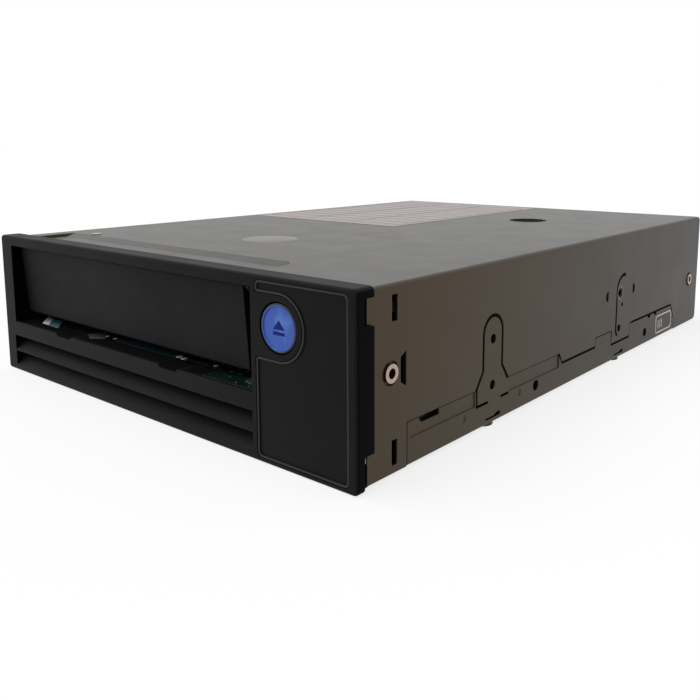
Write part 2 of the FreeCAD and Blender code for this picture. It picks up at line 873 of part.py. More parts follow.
def coil(label, x, y, z, way, radius, wire, length):
    """A helical spring of square wire, which starts at a point and runs along one way."""
    path = Part.makeHelix(length / size("spring_turns"), length, radius)
    half = wire / 2
    corners = [(-half, -half), (half, -half), (half, half), (-half, half), (-half, -half)]
    section = Part.makePolygon([FreeCAD.Vector(radius + a, 0, b) for a, b in corners])
    sweep = Part.Wire(path).makePipeShell([section], True, True)
    thing = doc.addObject("Part::Feature", label)
    thing.Shape = sweep
    thing.Placement = FreeCAD.Placement(FreeCAD.Vector(), TURNS[way])
    return kept(thing, label, x, y, z)


def build_button_spring():
    wire = size("button_spring_wire")
    start = "bezel_skin + button_flange + button_spring_wire / 2 + spring_seat"
    length = size("front_board_y - bezel_skin - button_flange - button_spring_wire - 2 * spring_seat")
    radius = size("button_spring")
    coil("button_spring", "button_x", start, "button_z", "rearwards", radius, wire, length)


def build_cartridge_door():
    body = new_body("cartridge_door")
    front = "door_recess"
    profile = [
        (front, "door_pin_z"),
        (f"{front} + door_tilt", "door_bottom"),
        (f"{front} + door_tilt + door_sheet", "door_bottom"),
        (f"{front} + door_sheet", "door_pin_z"),
    ]
    start = "-door_left"
    wide = "door_left + door_right"
    pad(body, "side", start, wide, profile)
    pad(body, "side", start, wide, ("circle", PIN_Y, "door_pin_z", "door_barrel"))
    round_edges(body, "door_round", lambda a, b: (
        abs(a.x - b.x) > 1 and near(a.z, "door_bottom") and near(b.z, "door_bottom")))
    bore = ("circle", PIN_Y, "door_pin_z", "door_pin_radius + running_gap")
    cut(body, "side", f"{start} - {OVER}", f"{wide} + 2 * {OVER}", bore)


def build_door_hinge():
    length = "slot_left + slot_right + 2 * door_pin_seat - running_gap"
    pin = rod("-slot_left - door_pin_seat", "0", "0", "door_pin_radius", length, "right")
    group("door_hinge_pin", [pin], "0", PIN_Y, "door_pin_z")
    wire = size("2 * door_spring_wire")
    mean = size("door_pin_radius + spring_seat + door_spring_wire")
    length = size("slot_right - door_right - 2 * door_spring_gap")
    coil("door_spring", "door_right + door_spring_gap", PIN_Y, "door_pin_z", "right", mean, wire, length)


def build_front_board():
    board = block(
        "front_board_left", "front_board_right", "front_board_y", "front_board_y + board_sheet",
        "front_board_bottom", "front_board_top",
    )
    group("front_panel_board", [board])
    half = "switch_size / 2"
    switch = block(
        f"button_x - {half}", f"button_x + {half}", "front_board_y - switch_body", "front_board_y",
        f"button_z - {half}", f"button_z + {half}",
    )
    plunger = rod("button_x", "front_board_y - switch_body - switch_plunger", "button_z",
                  "button_stem_radius", "switch_plunger", "rearwards")
    kept(joined([switch, plunger]), "eject_switch")
    lamps = []
    for step in range(int(size("lamp_count"))):
        z = f"lamp_z - {step} * lamp_pitch"
        lamps.append(block(
            "lamp_x - lamp_size / 2", "lamp_x + lamp_size / 2",
            "front_board_y - lamp_height", "front_board_y",
            f"{z} - lamp_size / 2", f"{z} + lamp_size / 2",
        ))
    group("status_lamps", lamps)


# ---- Case --------------------------------------------------------------------------------------

CASE_TOP = "(base_lift + case_height)"
EAR_Y = "(bezel_depth + fixing_front)"
LANCE_Y = "(bezel_depth + fixing_front + fixing_pitch)"
FIXING_LOW = "(base_lift + fixing_low)"
FIXING_HIGH = "(base_lift + fixing_low + fixing_rise)"
TAB_FACE = f"({HALF_CASE} - cover_sheet - screw_recess - lap_gap)"


def crossed(xs, ys):
    """Every point of a grid."""
    return [(x, y) for x in xs for y in ys]


DECK_ROWS = ("deck_post_front", "deck_post_middle", "deck_post_rear")
DECK_POSTS = crossed(("-deck_post_x", "deck_post_x"), DECK_ROWS)
BOARD_POSTS = crossed(("-board_post_x", "board_post_x"), ("board_post_front", "board_post_rear"))
BOARD_POSTS += crossed(("-motor_post_left", "motor_post_right"), ("motor_post_front", "motor_post_rear"))
SIDE_SCREWS = [("side_screw_front", "side_screw_front_z"), ("side_screw_rear", "side_screw_rear_z")]


BELOW = f"-{OVER}"


def seam(gap):
    """The stepped line along which the cover's skirt meets the tray's flange.

    The flange's own outline lies a gap inside the cut-out in the skirt.
    """
    ear = f"(ear_half_width + ear_slit - {gap} * ear_slit / seam_gap)"
    foot = f"({ear} + ear_flare)"
    return [
        (f"seam_front + {gap}", BELOW),
        (f"seam_front + {gap}", f"seam_height - {gap}"),
        (f"{EAR_Y} - {foot}", f"seam_height - {gap}"),
        (f"{EAR_Y} - {ear}", "ear_foot"),
        (f"{EAR_Y} - {ear}", "ear_shoulder"),
        (f"{EAR_Y} + {ear}", "ear_shoulder"),
        (f"{EAR_Y} + {ear}", "ear_foot"),
        (f"{EAR_Y} + {foot}", f"seam_height - {gap}"),
        ("step_front", f"seam_height - {gap}"),
        ("step_front + step_run", f"step_height - {gap}"),
        (f"step_rear + {gap}", f"step_height - {gap}"),
        (f"step_rear + {gap}", f"seam_height - {gap}"),
        (f"lap_front - {gap}", f"seam_height - {gap}"),
        (f"lap_front - {gap}", f"lap_height - {gap}"),
        (f"lap_rear + {gap}", f"lap_height - {gap}"),
        (f"lap_rear + {gap}", f"seam_height - {gap}"),
        (f"seam_rear - {gap}", f"seam_height - {gap}"),
        (f"seam_rear + seam_rear_run - {gap}", f"seam_height - seam_rear_drop - {gap}"),
        (f"seam_rear + seam_rear_run - {gap}", BELOW),
    ]


def both_sides(feature, body, inner, length, *loops):
    """The same pad or cut on the left and on the right, from an inner face outwards."""
    feature(body, "side", f"-({inner}) - ({length})", length, *loops)
    feature(body, "side", inner, length, *loops)


def dimple(body, x, y, radius, skin_top, skin, depth):
    """A shallow round pressing: a disc let into the sheet, with a ring left below it."""
    under = ("circle", x, y, f"{radius} + {skin}")
    pad(body, "top", f"{skin_top} - {skin} - {depth}", f"{depth} + {skin} / 2", under)
    cut(body, "top", f"{skin_top} - {depth}", f"{depth} + {OVER}", ("circle", x, y, radius))


def half_moon(y, way):
    """A slot with one straight and one bulging side."""
    far = f"{y} {way} moon_width"
    return [
        (y, "lance_shoulder + moon_height"), (far, "lance_shoulder + moon_height / 2"),
        (far, "lance_shoulder - moon_height / 2"), (y, "lance_shoulder - moon_height"),
    ]


def build_top_cover():
    body = new_body("top_cover")
    inner = f"{HALF_CASE} - cover_sheet"
    under = f"{CASE_TOP} - cover_sheet"
    foot = "base_lift + skirt_foot"
    fold = [
        (f"-{HALF_CASE}", foot),
        (f"-({inner})", foot),
        (f"-({inner})", under),
        (inner, under),
        (inner, foot),
        (HALF_CASE, foot),
        (HALF_CASE, CASE_TOP),
        (f"-{HALF_CASE}", CASE_TOP),
    ]
    pad(body, "front", "bezel_depth", "case_length", fold)
    round_edges(body, "fold_radius", lambda a, b: abs(a.y - b.y) > 1 and near(a.z, CASE_TOP))
    round_edges(body, "fold_radius - cover_sheet", lambda a, b: (
        abs(a.y - b.y) > 1 and near(a.z, under) and near(abs(a.x), inner)))
    ledge_rear = "(bezel_depth + ledge_flat)"
    floor = f"({CASE_TOP} - ledge_depth)"
    shelf = [
        ("bezel_depth", f"{floor} - cover_sheet"),
        (f"{ledge_rear} + cover_sheet / 2", f"{floor} - cover_sheet"),
        (f"{ledge_rear} + ledge_rise + cover_sheet / 2", under),
        (f"{ledge_rear} + ledge_rise + cover_sheet / 2", f"{under} + cover_sheet / 2"),
        ("bezel_depth", f"{under} + cover_sheet / 2"),
    ]
    pad(body, "side", "-ledge_left - cover_sheet", "ledge_left + ledge_right + 2 * cover_sheet", shelf)
    recess = [
        (f"bezel_depth - {OVER}", floor),
        (ledge_rear, floor),
        (f"{ledge_rear} + ledge_rise", CASE_TOP),
        (f"{ledge_rear} + ledge_rise", f"{CASE_TOP} + {OVER}"),
        (f"bezel_depth - {OVER}", f"{CASE_TOP} + {OVER}"),
    ]
    cut(body, "side", "-ledge_left", "ledge_left + ledge_right", recess)
    ledge_end = f"({ledge_rear} + ledge_rise)"
    bend = ("(ledge_right - ledge_round)", f"({ledge_end} - ledge_round)")
    past = (f"ledge_right + {SUNK}", f"{ledge_end} + {SUNK}")
    filler = [(past[0], bend[1])] + arc(*bend, "ledge_round", RIGHTWARD, UPWARD) + [(bend[0], past[1]), past]
    pad(body, "top", floor, "ledge_depth", filler)
    for x, y, radius in (
        ("-dimple_large_x", "dimple_large_y", "dimple_large"),
        ("dimple_small_x", "dimple_small_y", "dimple_small"),
        ("cover_hole_x", "cover_hole_y", "cover_hole + cover_hole_rim"),
    ):
        dimple(body, x, y, radius, CASE_TOP, "cover_sheet", "dimple_depth")
    hole = ("circle", "cover_hole_x", "cover_hole_y", "cover_hole")
    through = "cover_sheet + dimple_depth"
    cut(body, "top", f"{CASE_TOP} - {through} - {OVER}", f"{through} + 2 * {OVER}", hole)
    ear = ("circle", EAR_Y, "ear_shoulder", "ear_half_width + ear_slit")
    outside = f"-{HALF_CASE} - {OVER}"
    across = f"case_width + 2 * {OVER}"
    cut(body, "side", outside, across, seam("0"))
    cut(body, "side", outside, across, ear)
    front = f"({LANCE_Y} - lance_ahead)"
    top = (f"({front} + lance_round)", "lance_shoulder")
    low = (f"({front} + lance_hook)", "(lance_bottom + lance_hook)")
    slit = arc(*top, "lance_round", "lance_start", LEFTWARD)
    slit += arc(*low, "lance_hook", LEFTWARD, "lance_end")
    slit += arc(*low, "lance_hook - lance_slit", "lance_end", LEFTWARD)
    slit += arc(*top, "lance_round - lance_slit", LEFTWARD, "lance_start")
    moons = [half_moon(f"{LANCE_Y} - moon_ahead", "-"), half_moon(f"{LANCE_Y} + moon_behind", "+")]
    vents = [
        rectangle("vent_slot_front", "vent_slot_front + vent_slot_width", low, f"{low} + vent_slot_height")
        for low in ("vent_slot_high", "vent_slot_low")
    ]
    hook = [
        ("hook_slot_front", "hook_slot_bottom"),
        ("hook_slot_rear", "hook_slot_bottom - hook_slot_flare"),
        ("hook_slot_rear", "hook_slot_bottom + hook_slot_height + hook_slot_flare"),
        ("hook_slot_front", "hook_slot_bottom + hook_slot_height"),
    ]
    pilot = ("circle", f"{LANCE_Y} + pilot_behind", "pilot_z", "pilot_radius")
    cut(body, "side", outside, across, slit, hook, pilot, *vents, *moons)
    ring = ("circle", LANCE_Y, FIXING_HIGH, "lance_ring")
    both_sides(cut, body, f"{HALF_CASE} - lance_ring_depth", f"lance_ring_depth + {OVER}", ring)
    seats = [("circle", y, z, "screw_head + screw_rim + screw_seat_wall") for y, z in SIDE_SCREWS]
    both_sides(pad, body, f"{inner} - screw_recess", "screw_recess + cover_sheet / 2", *seats)
    sinks = [("circle", y, z, "screw_head + screw_rim") for y, z in SIDE_SCREWS]
    both_sides(cut, body, f"{HALF_CASE} - screw_recess", f"screw_recess + {OVER}", *sinks)
    shanks = [("circle", y, z, "screw_shank + screw_clearance") for y, z in SIDE_SCREWS]
    cut(body, "side", outside, across, *shanks)
    fixings = (FIXING_LOW, FIXING_HIGH)
    collars = [hexagon(LANCE_Y, z, "thread_radius + thread_wall") for z in fixings]
    both_sides(pad, body, f"{inner} - thread_collar", "thread_collar + cover_sheet / 2", *collars)
    threads = [("circle", LANCE_Y, z, "thread_radius") for z in fixings]
    cut(body, "side", outside, across, *threads)
    tongues = [
        rectangle("bezel_depth - tongue_reach", f"bezel_depth + {OVER}", low, f"{high} - lap_gap")
        for low, high in (("tongue_high_bottom + lap_gap", "tongue_high_top"), (foot, "tongue_low_top"))
    ]
    both_sides(pad, body, inner, "cover_sheet", *tongues)
    round_edges(body, "skirt_round", lambda a, b: (
        near(a.y, REAR) and near(b.y, REAR) and near(a.z, foot) and near(b.z, foot)))


def flange_cuts():
    """Cut-outs of the tray's flange: a sight window, the ear's bending slots, holes, notches and catches."""
    above = f"seam_height + {OVER}"
    slot = f"({EAR_Y} - ear_slot_ahead)"
    relief = f"({EAR_Y} + ear_relief)"
    cuts = [
        [
            ("window_front", above), ("window_front", "window_low + window_slope"),
            ("window_front + window_slope", "window_low"), ("window_rear", "window_low"),
            ("window_rear", above),
        ],
        [
            (slot, above), (slot, "ear_slot_low"), (f"{slot} + ear_slot_run", "ear_slot_low"),
            (f"{slot} + ear_slot_run", "ear_slot_low + ear_slot"),
            (f"{slot} + ear_slot", "ear_slot_low + ear_slot"), (f"{slot} + ear_slot", above),
        ],
        rectangle(relief, f"{relief} + ear_relief_run", "ear_slot_low", "ear_slot_low + ear_slot"),
    ]
    for y in ("flange_hole_front", "flange_hole_rear"):
        cuts.append(("circle", y, "flange_hole_z", "flange_hole"))
    for y in ("top_notch_front", "top_notch_middle"):
        cuts.append(rectangle(y, f"{y} + top_notch_width", "seam_height - top_notch_depth", above))
    for y in (f"({EAR_Y} - catch_ahead)", f"({LANCE_Y} - catch_ahead)"):
        cuts.append([
            (y, "catch_low"), (f"{y} + catch_run", "catch_low"),
            (f"{y} + catch_run", "catch_low + catch_height"),
            (f"{y} + catch_run - catch_point", "catch_low + catch_height"),
            (f"{y} + catch_run - 2 * catch_point", "catch_low + catch_height / 2"),
            (y, "catch_low + catch_height / 2"),
        ])
    return cuts


def flange_frame(shrink):
    """The outline of the pressed frame near the flange's rear end."""
    return clipped(
        f"frame_front + {shrink}", f"frame_rear - {shrink}", f"frame_low + {shrink}",
        f"frame_high - {shrink}", f"(frame_corner - {shrink} / 2)")


def build_base_tray():
    body = new_body("base_tray")
    inner = f"{HALF_CASE} - base_sheet"
    tab = f"{TAB_FACE} - base_sheet"
    floor = rectangle(f"-({inner})", inner, "bezel_depth + rear_gap", f"{REAR} - rear_sheet - rear_gap")
    pad(body, "top", "base_lift", "base_sheet", floor)
    above = f"seam_height + {OVER}"
    low = [(y, "base_lift" if z == BELOW else z) for y, z in seam("seam_gap")]
    both_sides(pad, body, inner, "base_sheet", low)
    ear = ("circle", EAR_Y, "ear_shoulder", "ear_half_width")
    both_sides(pad, body, inner, "base_sheet", ear)
    round_edges(body, "base_round", lambda a, b: (
        abs(a.y - b.y) > 1 and near(abs(a.x), HALF_CASE) and near(max(a.z, b.z), "base_lift")))
    both_sides(cut, body, f"{inner} - {OVER}", f"base_sheet + 2 * {OVER}", *flange_cuts())
    foot = "(ear_half_width + ear_slit + ear_flare)"
    strips = [
        rectangle("seam_front + seam_gap + joggle_inset", f"{EAR_Y} - {foot}", "joggle_height", above),
        rectangle(f"{EAR_Y} + {foot}", "step_front", "joggle_height", above),
    ]
    pips = [("circle", y, "pip_z", "pip_radius") for y in ("pip_front", "pip_rear")]
    both_sides(cut, body, f"{HALF_CASE} - joggle_depth", f"joggle_depth + {OVER}", *strips)
    both_sides(cut, body, f"{HALF_CASE} - pip_depth", f"pip_depth + {OVER}", *pips)
    frame = [flange_frame("0"), flange_frame("frame_width")]
    both_sides(cut, body, f"{HALF_CASE} - frame_depth", f"frame_depth + {OVER}", *frame)
    ahead = "side_screw_rear - inner_tab_rear_ahead"
    behind = "side_screw_rear + inner_tab_rear_behind"
    tabs = [
        rectangle("inner_tab_front", "seam_front + seam_gap", "base_lift", "inner_tab_front_top"),
        rectangle(ahead, behind, "base_lift", "inner_tab_rear_top"),
    ]
    both_sides(pad, body, tab, "base_sheet", *tabs)
    outside = f"-{HALF_CASE} - {OVER}"
    across = f"case_width + 2 * {OVER}"
    taps = [("circle", y, z, "screw_shank + running_gap") for y, z in SIDE_SCREWS]
    cut(body, "side", outside, across, *taps)
    collars = [hexagon(EAR_Y, z, "thread_radius + thread_wall") for z in (FIXING_LOW, FIXING_HIGH)]
    both_sides(pad, body, f"{inner} - thread_collar", "thread_collar + base_sheet / 2", *collars)
    threads = [("circle", EAR_Y, z, "thread_radius") for z in (FIXING_LOW, FIXING_HIGH)]
    cut(body, "side", outside, across, *threads)
    feet = []
    holes = []
    for side in ("-", ""):
        for y in (EAR_Y, LANCE_Y):
            feet.append(("circle", f"{side}fixing_bottom_pitch / 2", y, "foot_radius"))
            holes.append(("circle", f"{side}fixing_bottom_pitch / 2", y, "thread_radius"))
    pad(body, "top", "0", "base_lift + base_sheet", *feet)
    cut(body, "top", f"-{OVER}", f"base_lift + base_sheet + 2 * {OVER}", *holes)
    posts = [hexagon(x, y, "deck_post") for x, y in DECK_POSTS]
    pad(body, "top", "base_lift + base_sheet / 2", "deck_level - base_lift - base_sheet / 2", *posts)
    taps = [("circle", x, y, "screw_shank + running_gap") for x, y in DECK_POSTS]
    cut(body, "top", "base_lift + base_sheet", "deck_level", *taps)
    standoffs = [hexagon(x, y, "board_post") for x, y in BOARD_POSTS]
    pad(body, "top", "base_lift + base_sheet / 2",
        "main_board_level - base_lift - base_sheet / 2", *standoffs)


def build_rear_panel():
    body = new_body("rear_panel")
    half = f"({HALF_CASE} - cover_sheet - lap_gap)"
    front = f"({REAR} - rear_sheet)"
    low = "base_lift + base_sheet + rear_gap"
    high = f"{CASE_TOP} - cover_sheet - rear_gap"
    corner = "(fold_radius - cover_sheet + rear_gap)"
    outline = [
        (f"-{half}", low), (half, low), (half, f"{high} - {corner}"), (f"{half} - {corner}", high),
        (f"-{half} + {corner}", high), (f"-{half}", f"{high} - {corner}"),
    ]
    pad(body, "front", front, "rear_sheet", outline)
    flange = rectangle(
        f"{front} - rear_flange", f"{REAR} - rear_sheet / 2", "rear_flange_low", "inner_tab_rear_top")
    face = f"{TAB_FACE} - base_sheet - lap_gap - rear_sheet"
    both_sides(pad, body, face, "rear_sheet", flange)
    tap = ("circle", "side_screw_rear", "side_screw_rear_z", "screw_shank + running_gap")
    cut(body, "side", f"-{HALF_CASE}", "case_width", tap)
    gap = "rear_gap"
    board = "(main_board_level + board_sheet)"
    holes = []
    for x, width, height in (
        ("-jack_x", "jack_width", "jack_height"),
        ("-host_x", "host_width", "host_height"),
        ("port_x", "port_width", "port_height"),
    ):
        holes.append(rectangle(
            f"{x} - {width} / 2 - {gap}", f"{x} + {width} / 2 + {gap}",
            f"{board} - {gap}", f"{board} + {height} + {gap}",
        ))
    cut(body, "front", f"{front} - {OVER}", f"rear_sheet + 2 * {OVER}", *holes)
    fan_hole = ("circle", "fan_x", FAN_Z, "fan_bore")
    cut(body, "front", f"{front} - {OVER}", f"rear_sheet + 2 * {OVER}", fan_hole)
    for radius in ("guard_inner", "guard_outer"):
        ring = [("circle", "fan_x", FAN_Z, f"{radius} + guard_bar"), ("circle", "fan_x", FAN_Z, radius)]
        pad(body, "front", front, "rear_sheet", *ring)
    reach = f"(fan_bore + {SUNK})"
    bar = "guard_bar / 2"
    upright = rectangle(f"fan_x - {bar}", f"fan_x + {bar}", f"{FAN_Z} - {reach}", f"{FAN_Z} + {reach}")
    level = rectangle(f"fan_x - {reach}", f"fan_x + {reach}", f"{FAN_Z} - {bar}", f"{FAN_Z} + {bar}")
    pad(body, "front", front, "rear_sheet", upright)
    pad(body, "front", front, "rear_sheet", level)


DECK_TOP = "(deck_level + deck_sheet)"
FAN_Z = "(base_lift + base_sheet + fan_foot + fan_size / 2)"
CENTRE = "(-cartridge_centre)"


def build_deck():
    body = new_body("deck_plate")
    half = f"({HALF_CASE} - base_sheet - deck_side_gap)"
    pad(body, "top", "deck_level", "deck_sheet", rectangle(f"-{half}", half, "deck_front", "deck_rear"))
    window = rectangle("-deck_window_left", "deck_window_right", f"deck_front - {OVER}", "deck_window_rear")
    cut(body, "top", f"deck_level - {OVER}", f"deck_sheet + 2 * {OVER}", window)
    holes = [("circle", x, y, "screw_shank + screw_clearance") for x, y in DECK_POSTS]
    holes.append(("circle", CENTRE, "supply_y", "chuck_radius + chuck_gap"))
    cut(body, "top", f"deck_level - {OVER}", f"deck_sheet + 2 * {OVER}", *holes)


def build_screws():
    sides = []
    seat = f"({HALF_CASE} - screw_recess)"
    for y, z in SIDE_SCREWS:
        for side, inward, outward in (("-", "right", "left"), ("", "left", "right")):
            shank = rod(f"{side}{seat}", y, z, "screw_shank", "screw_length", inward)
            head = rod(f"{side}{seat}", y, z, "screw_head", "screw_head_height", outward)
            floor = f"{side}({seat} + screw_head_height - screw_socket_depth)"
            socket_cut = rod(floor, y, z, "screw_socket", "screw_socket_depth + screw_rim", outward)
            sides.append(joined([shank, without(head, [socket_cut])]))
    group("side_screws", sides)
    decks = []
    for x, y in DECK_POSTS:
        head = rod(x, y, DECK_TOP, "screw_head", "screw_head_height")
        shank = rod(x, y, f"{DECK_TOP} - screw_length", "screw_shank", "screw_length")
        decks.append(joined([head, shank]))
    group("deck_screws", decks)
    rivet = rod("-top_screw_x", "top_screw_y", CASE_TOP, "rivet_radius", "rivet_height")
    group("top_rivet", [rivet])
    paper = f"{CASE_TOP} + label_sheet"
    label = block("-label_left", "label_right", "label_front", "label_rear", CASE_TOP, paper)
    group("blank_label", [label])


# ---- Cartridge loader --------------------------------------------------------------------------

TRAY_INNER = "(cartridge_width / 2 + cartridge_side_gap)"
TRAY_OUTER = f"({TRAY_INNER} + loader_sheet)"
TRAY_TOP = "(cartridge_level + cartridge_height + cartridge_top_gap + loader_sheet)"
FRAME_INNER = f"({TRAY_OUTER} + loader_gap)"
FRAME_OUTER = f"({FRAME_INNER} + loader_sheet)"
FRAME_TOP = f"({TRAY_TOP} + loader_gap + loader_sheet)"
CAM_INNER = f"({FRAME_OUTER} + loader_gap)"
CAM_OUTER = f"({CAM_INNER} + loader_sheet)"
RAIL_INNER = f"({CAM_OUTER} + loader_gap)"
RAIL_OUTER = f"({RAIL_INNER} + rail_sheet)"
PIN_ROWS = ("(tray_front + tray_pin_inset)", "(tray_front + tray_length - tray_pin_inset)")
RACK_LINE = f"({FRAME_OUTER} + rack_back + rack_module)"
GEAR_X = f"({RACK_LINE} - cartridge_centre + rack_module * pinion_teeth / 2)"


def build_tray():
    body = new_body("cartridge_tray", CENTRE)
    bottom = "cartridge_level - loader_sheet"
    level = "cartridge_level"
    under = f"{TRAY_TOP} - loader_sheet"
    lip = f"({TRAY_INNER} - tray_lip)"
    right = [
        (TRAY_OUTER, bottom), (lip, bottom), (lip, level), (TRAY_INNER, level), (TRAY_INNER, under),
    ]
    left = [(f"-{x}", z) for x, z in reversed(right)]
    channel = [(TRAY_OUTER, TRAY_TOP)] + right + left + [(f"-{TRAY_OUTER}", TRAY_TOP)]
    pad(body, "front", "tray_front", "tray_length", channel)
    window = rectangle(
        "-tray_window", "tray_window", "tray_front + tray_bridge", "tray_front + tray_length - tray_bridge")
    cut(body, "top", f"{under} - {OVER}", f"loader_sheet + 2 * {OVER}", window)
    pins = [("circle", y, "tray_pin_level", "tray_pin") for y in PIN_ROWS]
    both_sides(pad, body, TRAY_OUTER, f"{CAM_OUTER} - {TRAY_OUTER}", *pins)


def build_carriage():
    body = new_body("loader_carriage", CENTRE)
    foot = "carriage_foot"
    under = f"{FRAME_TOP} - loader_sheet"
    arch = [
        (f"-{FRAME_OUTER}", foot), (f"-{FRAME_INNER}", foot), (f"-{FRAME_INNER}", under),
        (FRAME_INNER, under), (FRAME_INNER, foot), (FRAME_OUTER, foot),
        (FRAME_OUTER, FRAME_TOP), (f"-{FRAME_OUTER}", FRAME_TOP),
    ]
    pad(body, "front", "tray_front", "tray_length", arch)
    inner = f"({FRAME_INNER} - carriage_edge)"
    middle = "(tray_front + tray_length / 2)"
    rear = "(tray_front + tray_length)"
    openings = [
        rectangle(f"-{inner}", inner, f"tray_front - {OVER}", f"{middle} - carriage_bridge / 2"),
        rectangle(f"-{inner}", inner, f"{middle} + carriage_bridge / 2", f"{rear} + {OVER}"),
    ]
    cut(body, "top", f"{under} - {OVER}", f"loader_sheet + 2 * {OVER}", *openings)
    reach = "(tray_pin + tray_pin_gap)"
    low, high = f"tray_pin_level - tray_drop - {reach}", f"tray_pin_level + {reach}"
    slots = [rectangle(f"{y} - {reach}", f"{y} + {reach}", low, high) for y in PIN_ROWS]
    cut(body, "side", f"-{FRAME_OUTER} - {OVER}", f"2 * {FRAME_OUTER} + 2 * {OVER}", *slots)
    pitch = "(pi * rack_module)"
    rear = f"rack_start + rack_teeth * {pitch}"
    pad(body, "top", "rack_bottom", "rack_height", rectangle(
        f"{FRAME_OUTER} - loader_sheet / 2", f"{FRAME_OUTER} + rack_back", "rack_start", rear))
    lean = "tan(pressure_angle)"
    half = f"({pitch} / 4 - tooth_backlash / 4)"
    steps = math.floor(size(f"(gear_y - rack_start) / {pitch} - 0.5"))
    first = f"(gear_y - {steps} * {pitch})"
    root = f"({half} + rack_module * {lean})"
    tip = f"({half} - rack_module * {lean})"
    tooth = pad(body, "top", "rack_bottom", "rack_height", [
        (f"{FRAME_OUTER} + rack_back / 2", f"{first} - {root}"),
        (f"{FRAME_OUTER} + rack_back", f"{first} - {root}"),
        (f"{RACK_LINE} + rack_module", f"{first} - {tip}"),
        (f"{RACK_LINE} + rack_module", f"{first} + {tip}"),
        (f"{FRAME_OUTER} + rack_back", f"{first} + {root}"),
        (f"{FRAME_OUTER} + rack_back / 2", f"{first} + {root}"),
    ])
    row = body.newObject("PartDesign::LinearPattern", "rack_teeth")
    row.Originals = [tooth]
    row.Direction = (origin_item(body, "Y_Axis"), [""])
    bind(row, Length=f"{pitch} * (rack_teeth - 1)", Occurrences="rack_teeth")
    body.Tip = row


def build_cams():
    for label, start in (
        ("cam_plate_left", f"-{CAM_OUTER}"),
        ("cam_plate_right", CAM_INNER),
    ):
        body = new_body(label, CENTRE)
        plate = rectangle("tray_front", "tray_front + tray_length", "cam_bottom", "cam_top")
        pad(body, "side", start, "loader_sheet", plate)
        reach = "(tray_pin + tray_pin_gap)"
        slope = "(cam_travel / tray_drop)"
        across = f"({reach} * sqrt(1 + {slope} * {slope}))"
        slots = []
        for y in PIN_ROWS:
            high = f"tray_pin_level + {reach}"
            low = f"tray_pin_level - tray_drop - {reach}"
            top_y = f"({y} + {reach} * {slope})"
            low_y = f"({y} - cam_travel - {reach} * {slope})"
            slots.append([
                (f"{top_y} - {across}", high), (f"{low_y} - {across}", low),
                (f"{low_y} + {across}", low), (f"{top_y} + {across}", high),
            ])
        cut(body, "side", f"{start} - {OVER}", f"loader_sheet + 2 * {OVER}", *slots)


def build_rails():
    base = [
        (f"{FRAME_INNER} - rail_inset", DECK_TOP), (RAIL_OUTER, DECK_TOP), (RAIL_OUTER, "rail_top"),
        (RAIL_INNER, "rail_top"), (RAIL_INNER, "carriage_foot - loader_gap"),
        (f"{FRAME_INNER} - rail_inset", "carriage_foot - loader_gap"),
    ]
    length = "tray_length + loader_travel + rail_spare"
    for label, side in (("loader_rail_left", "-"), ("loader_rail_right", "")):
        body = new_body(label, CENTRE)
        pad(body, "front", "tray_front", length, [(f"{side}({x})", z) for x, z in base])


def involute(angle):
    return math.tan(angle) - angle


def gear_blank(teeth, module, phase, bottom, height):
    """A spur gear about the Z axis, with one tooth pointing at the phase angle.

    Each flank runs straight from the root to the base circle, then in two chords of the involute.
    """
    pressure = math.radians(size("pressure_angle"))
    pitch = module * teeth / 2
    base = pitch * math.cos(pressure)
    tip = pitch + module
    root = pitch - 1.25 * module
    half = math.pi / (2 * teeth) - size("tooth_backlash") / (4 * pitch)
    flank = [(root, half + involute(pressure))]
    for radius in (max(base, root), pitch, tip):
        turn = math.acos(min(1.0, base / radius))
        flank.append((radius, half + involute(pressure) - involute(turn)))
    points = []
    for number in range(teeth):
        middle = math.radians(phase) + 2 * math.pi * number / teeth
        outline = [(radius, middle - angle) for radius, angle in flank]
        outline += [(radius, middle + angle) for radius, angle in reversed(flank)]
        points += [FreeCAD.Vector(r * math.cos(a), r * math.sin(a), bottom) for r, a in outline]
    pairs = zip(points, points[1:] + points[:1])
    unique = [point for point, after in pairs if point.distanceToPoint(after) > 1e-6]
    face = Part.Face(Part.makePolygon(unique + unique[:1]))
    return face.extrude(FreeCAD.Vector(0, 0, height))


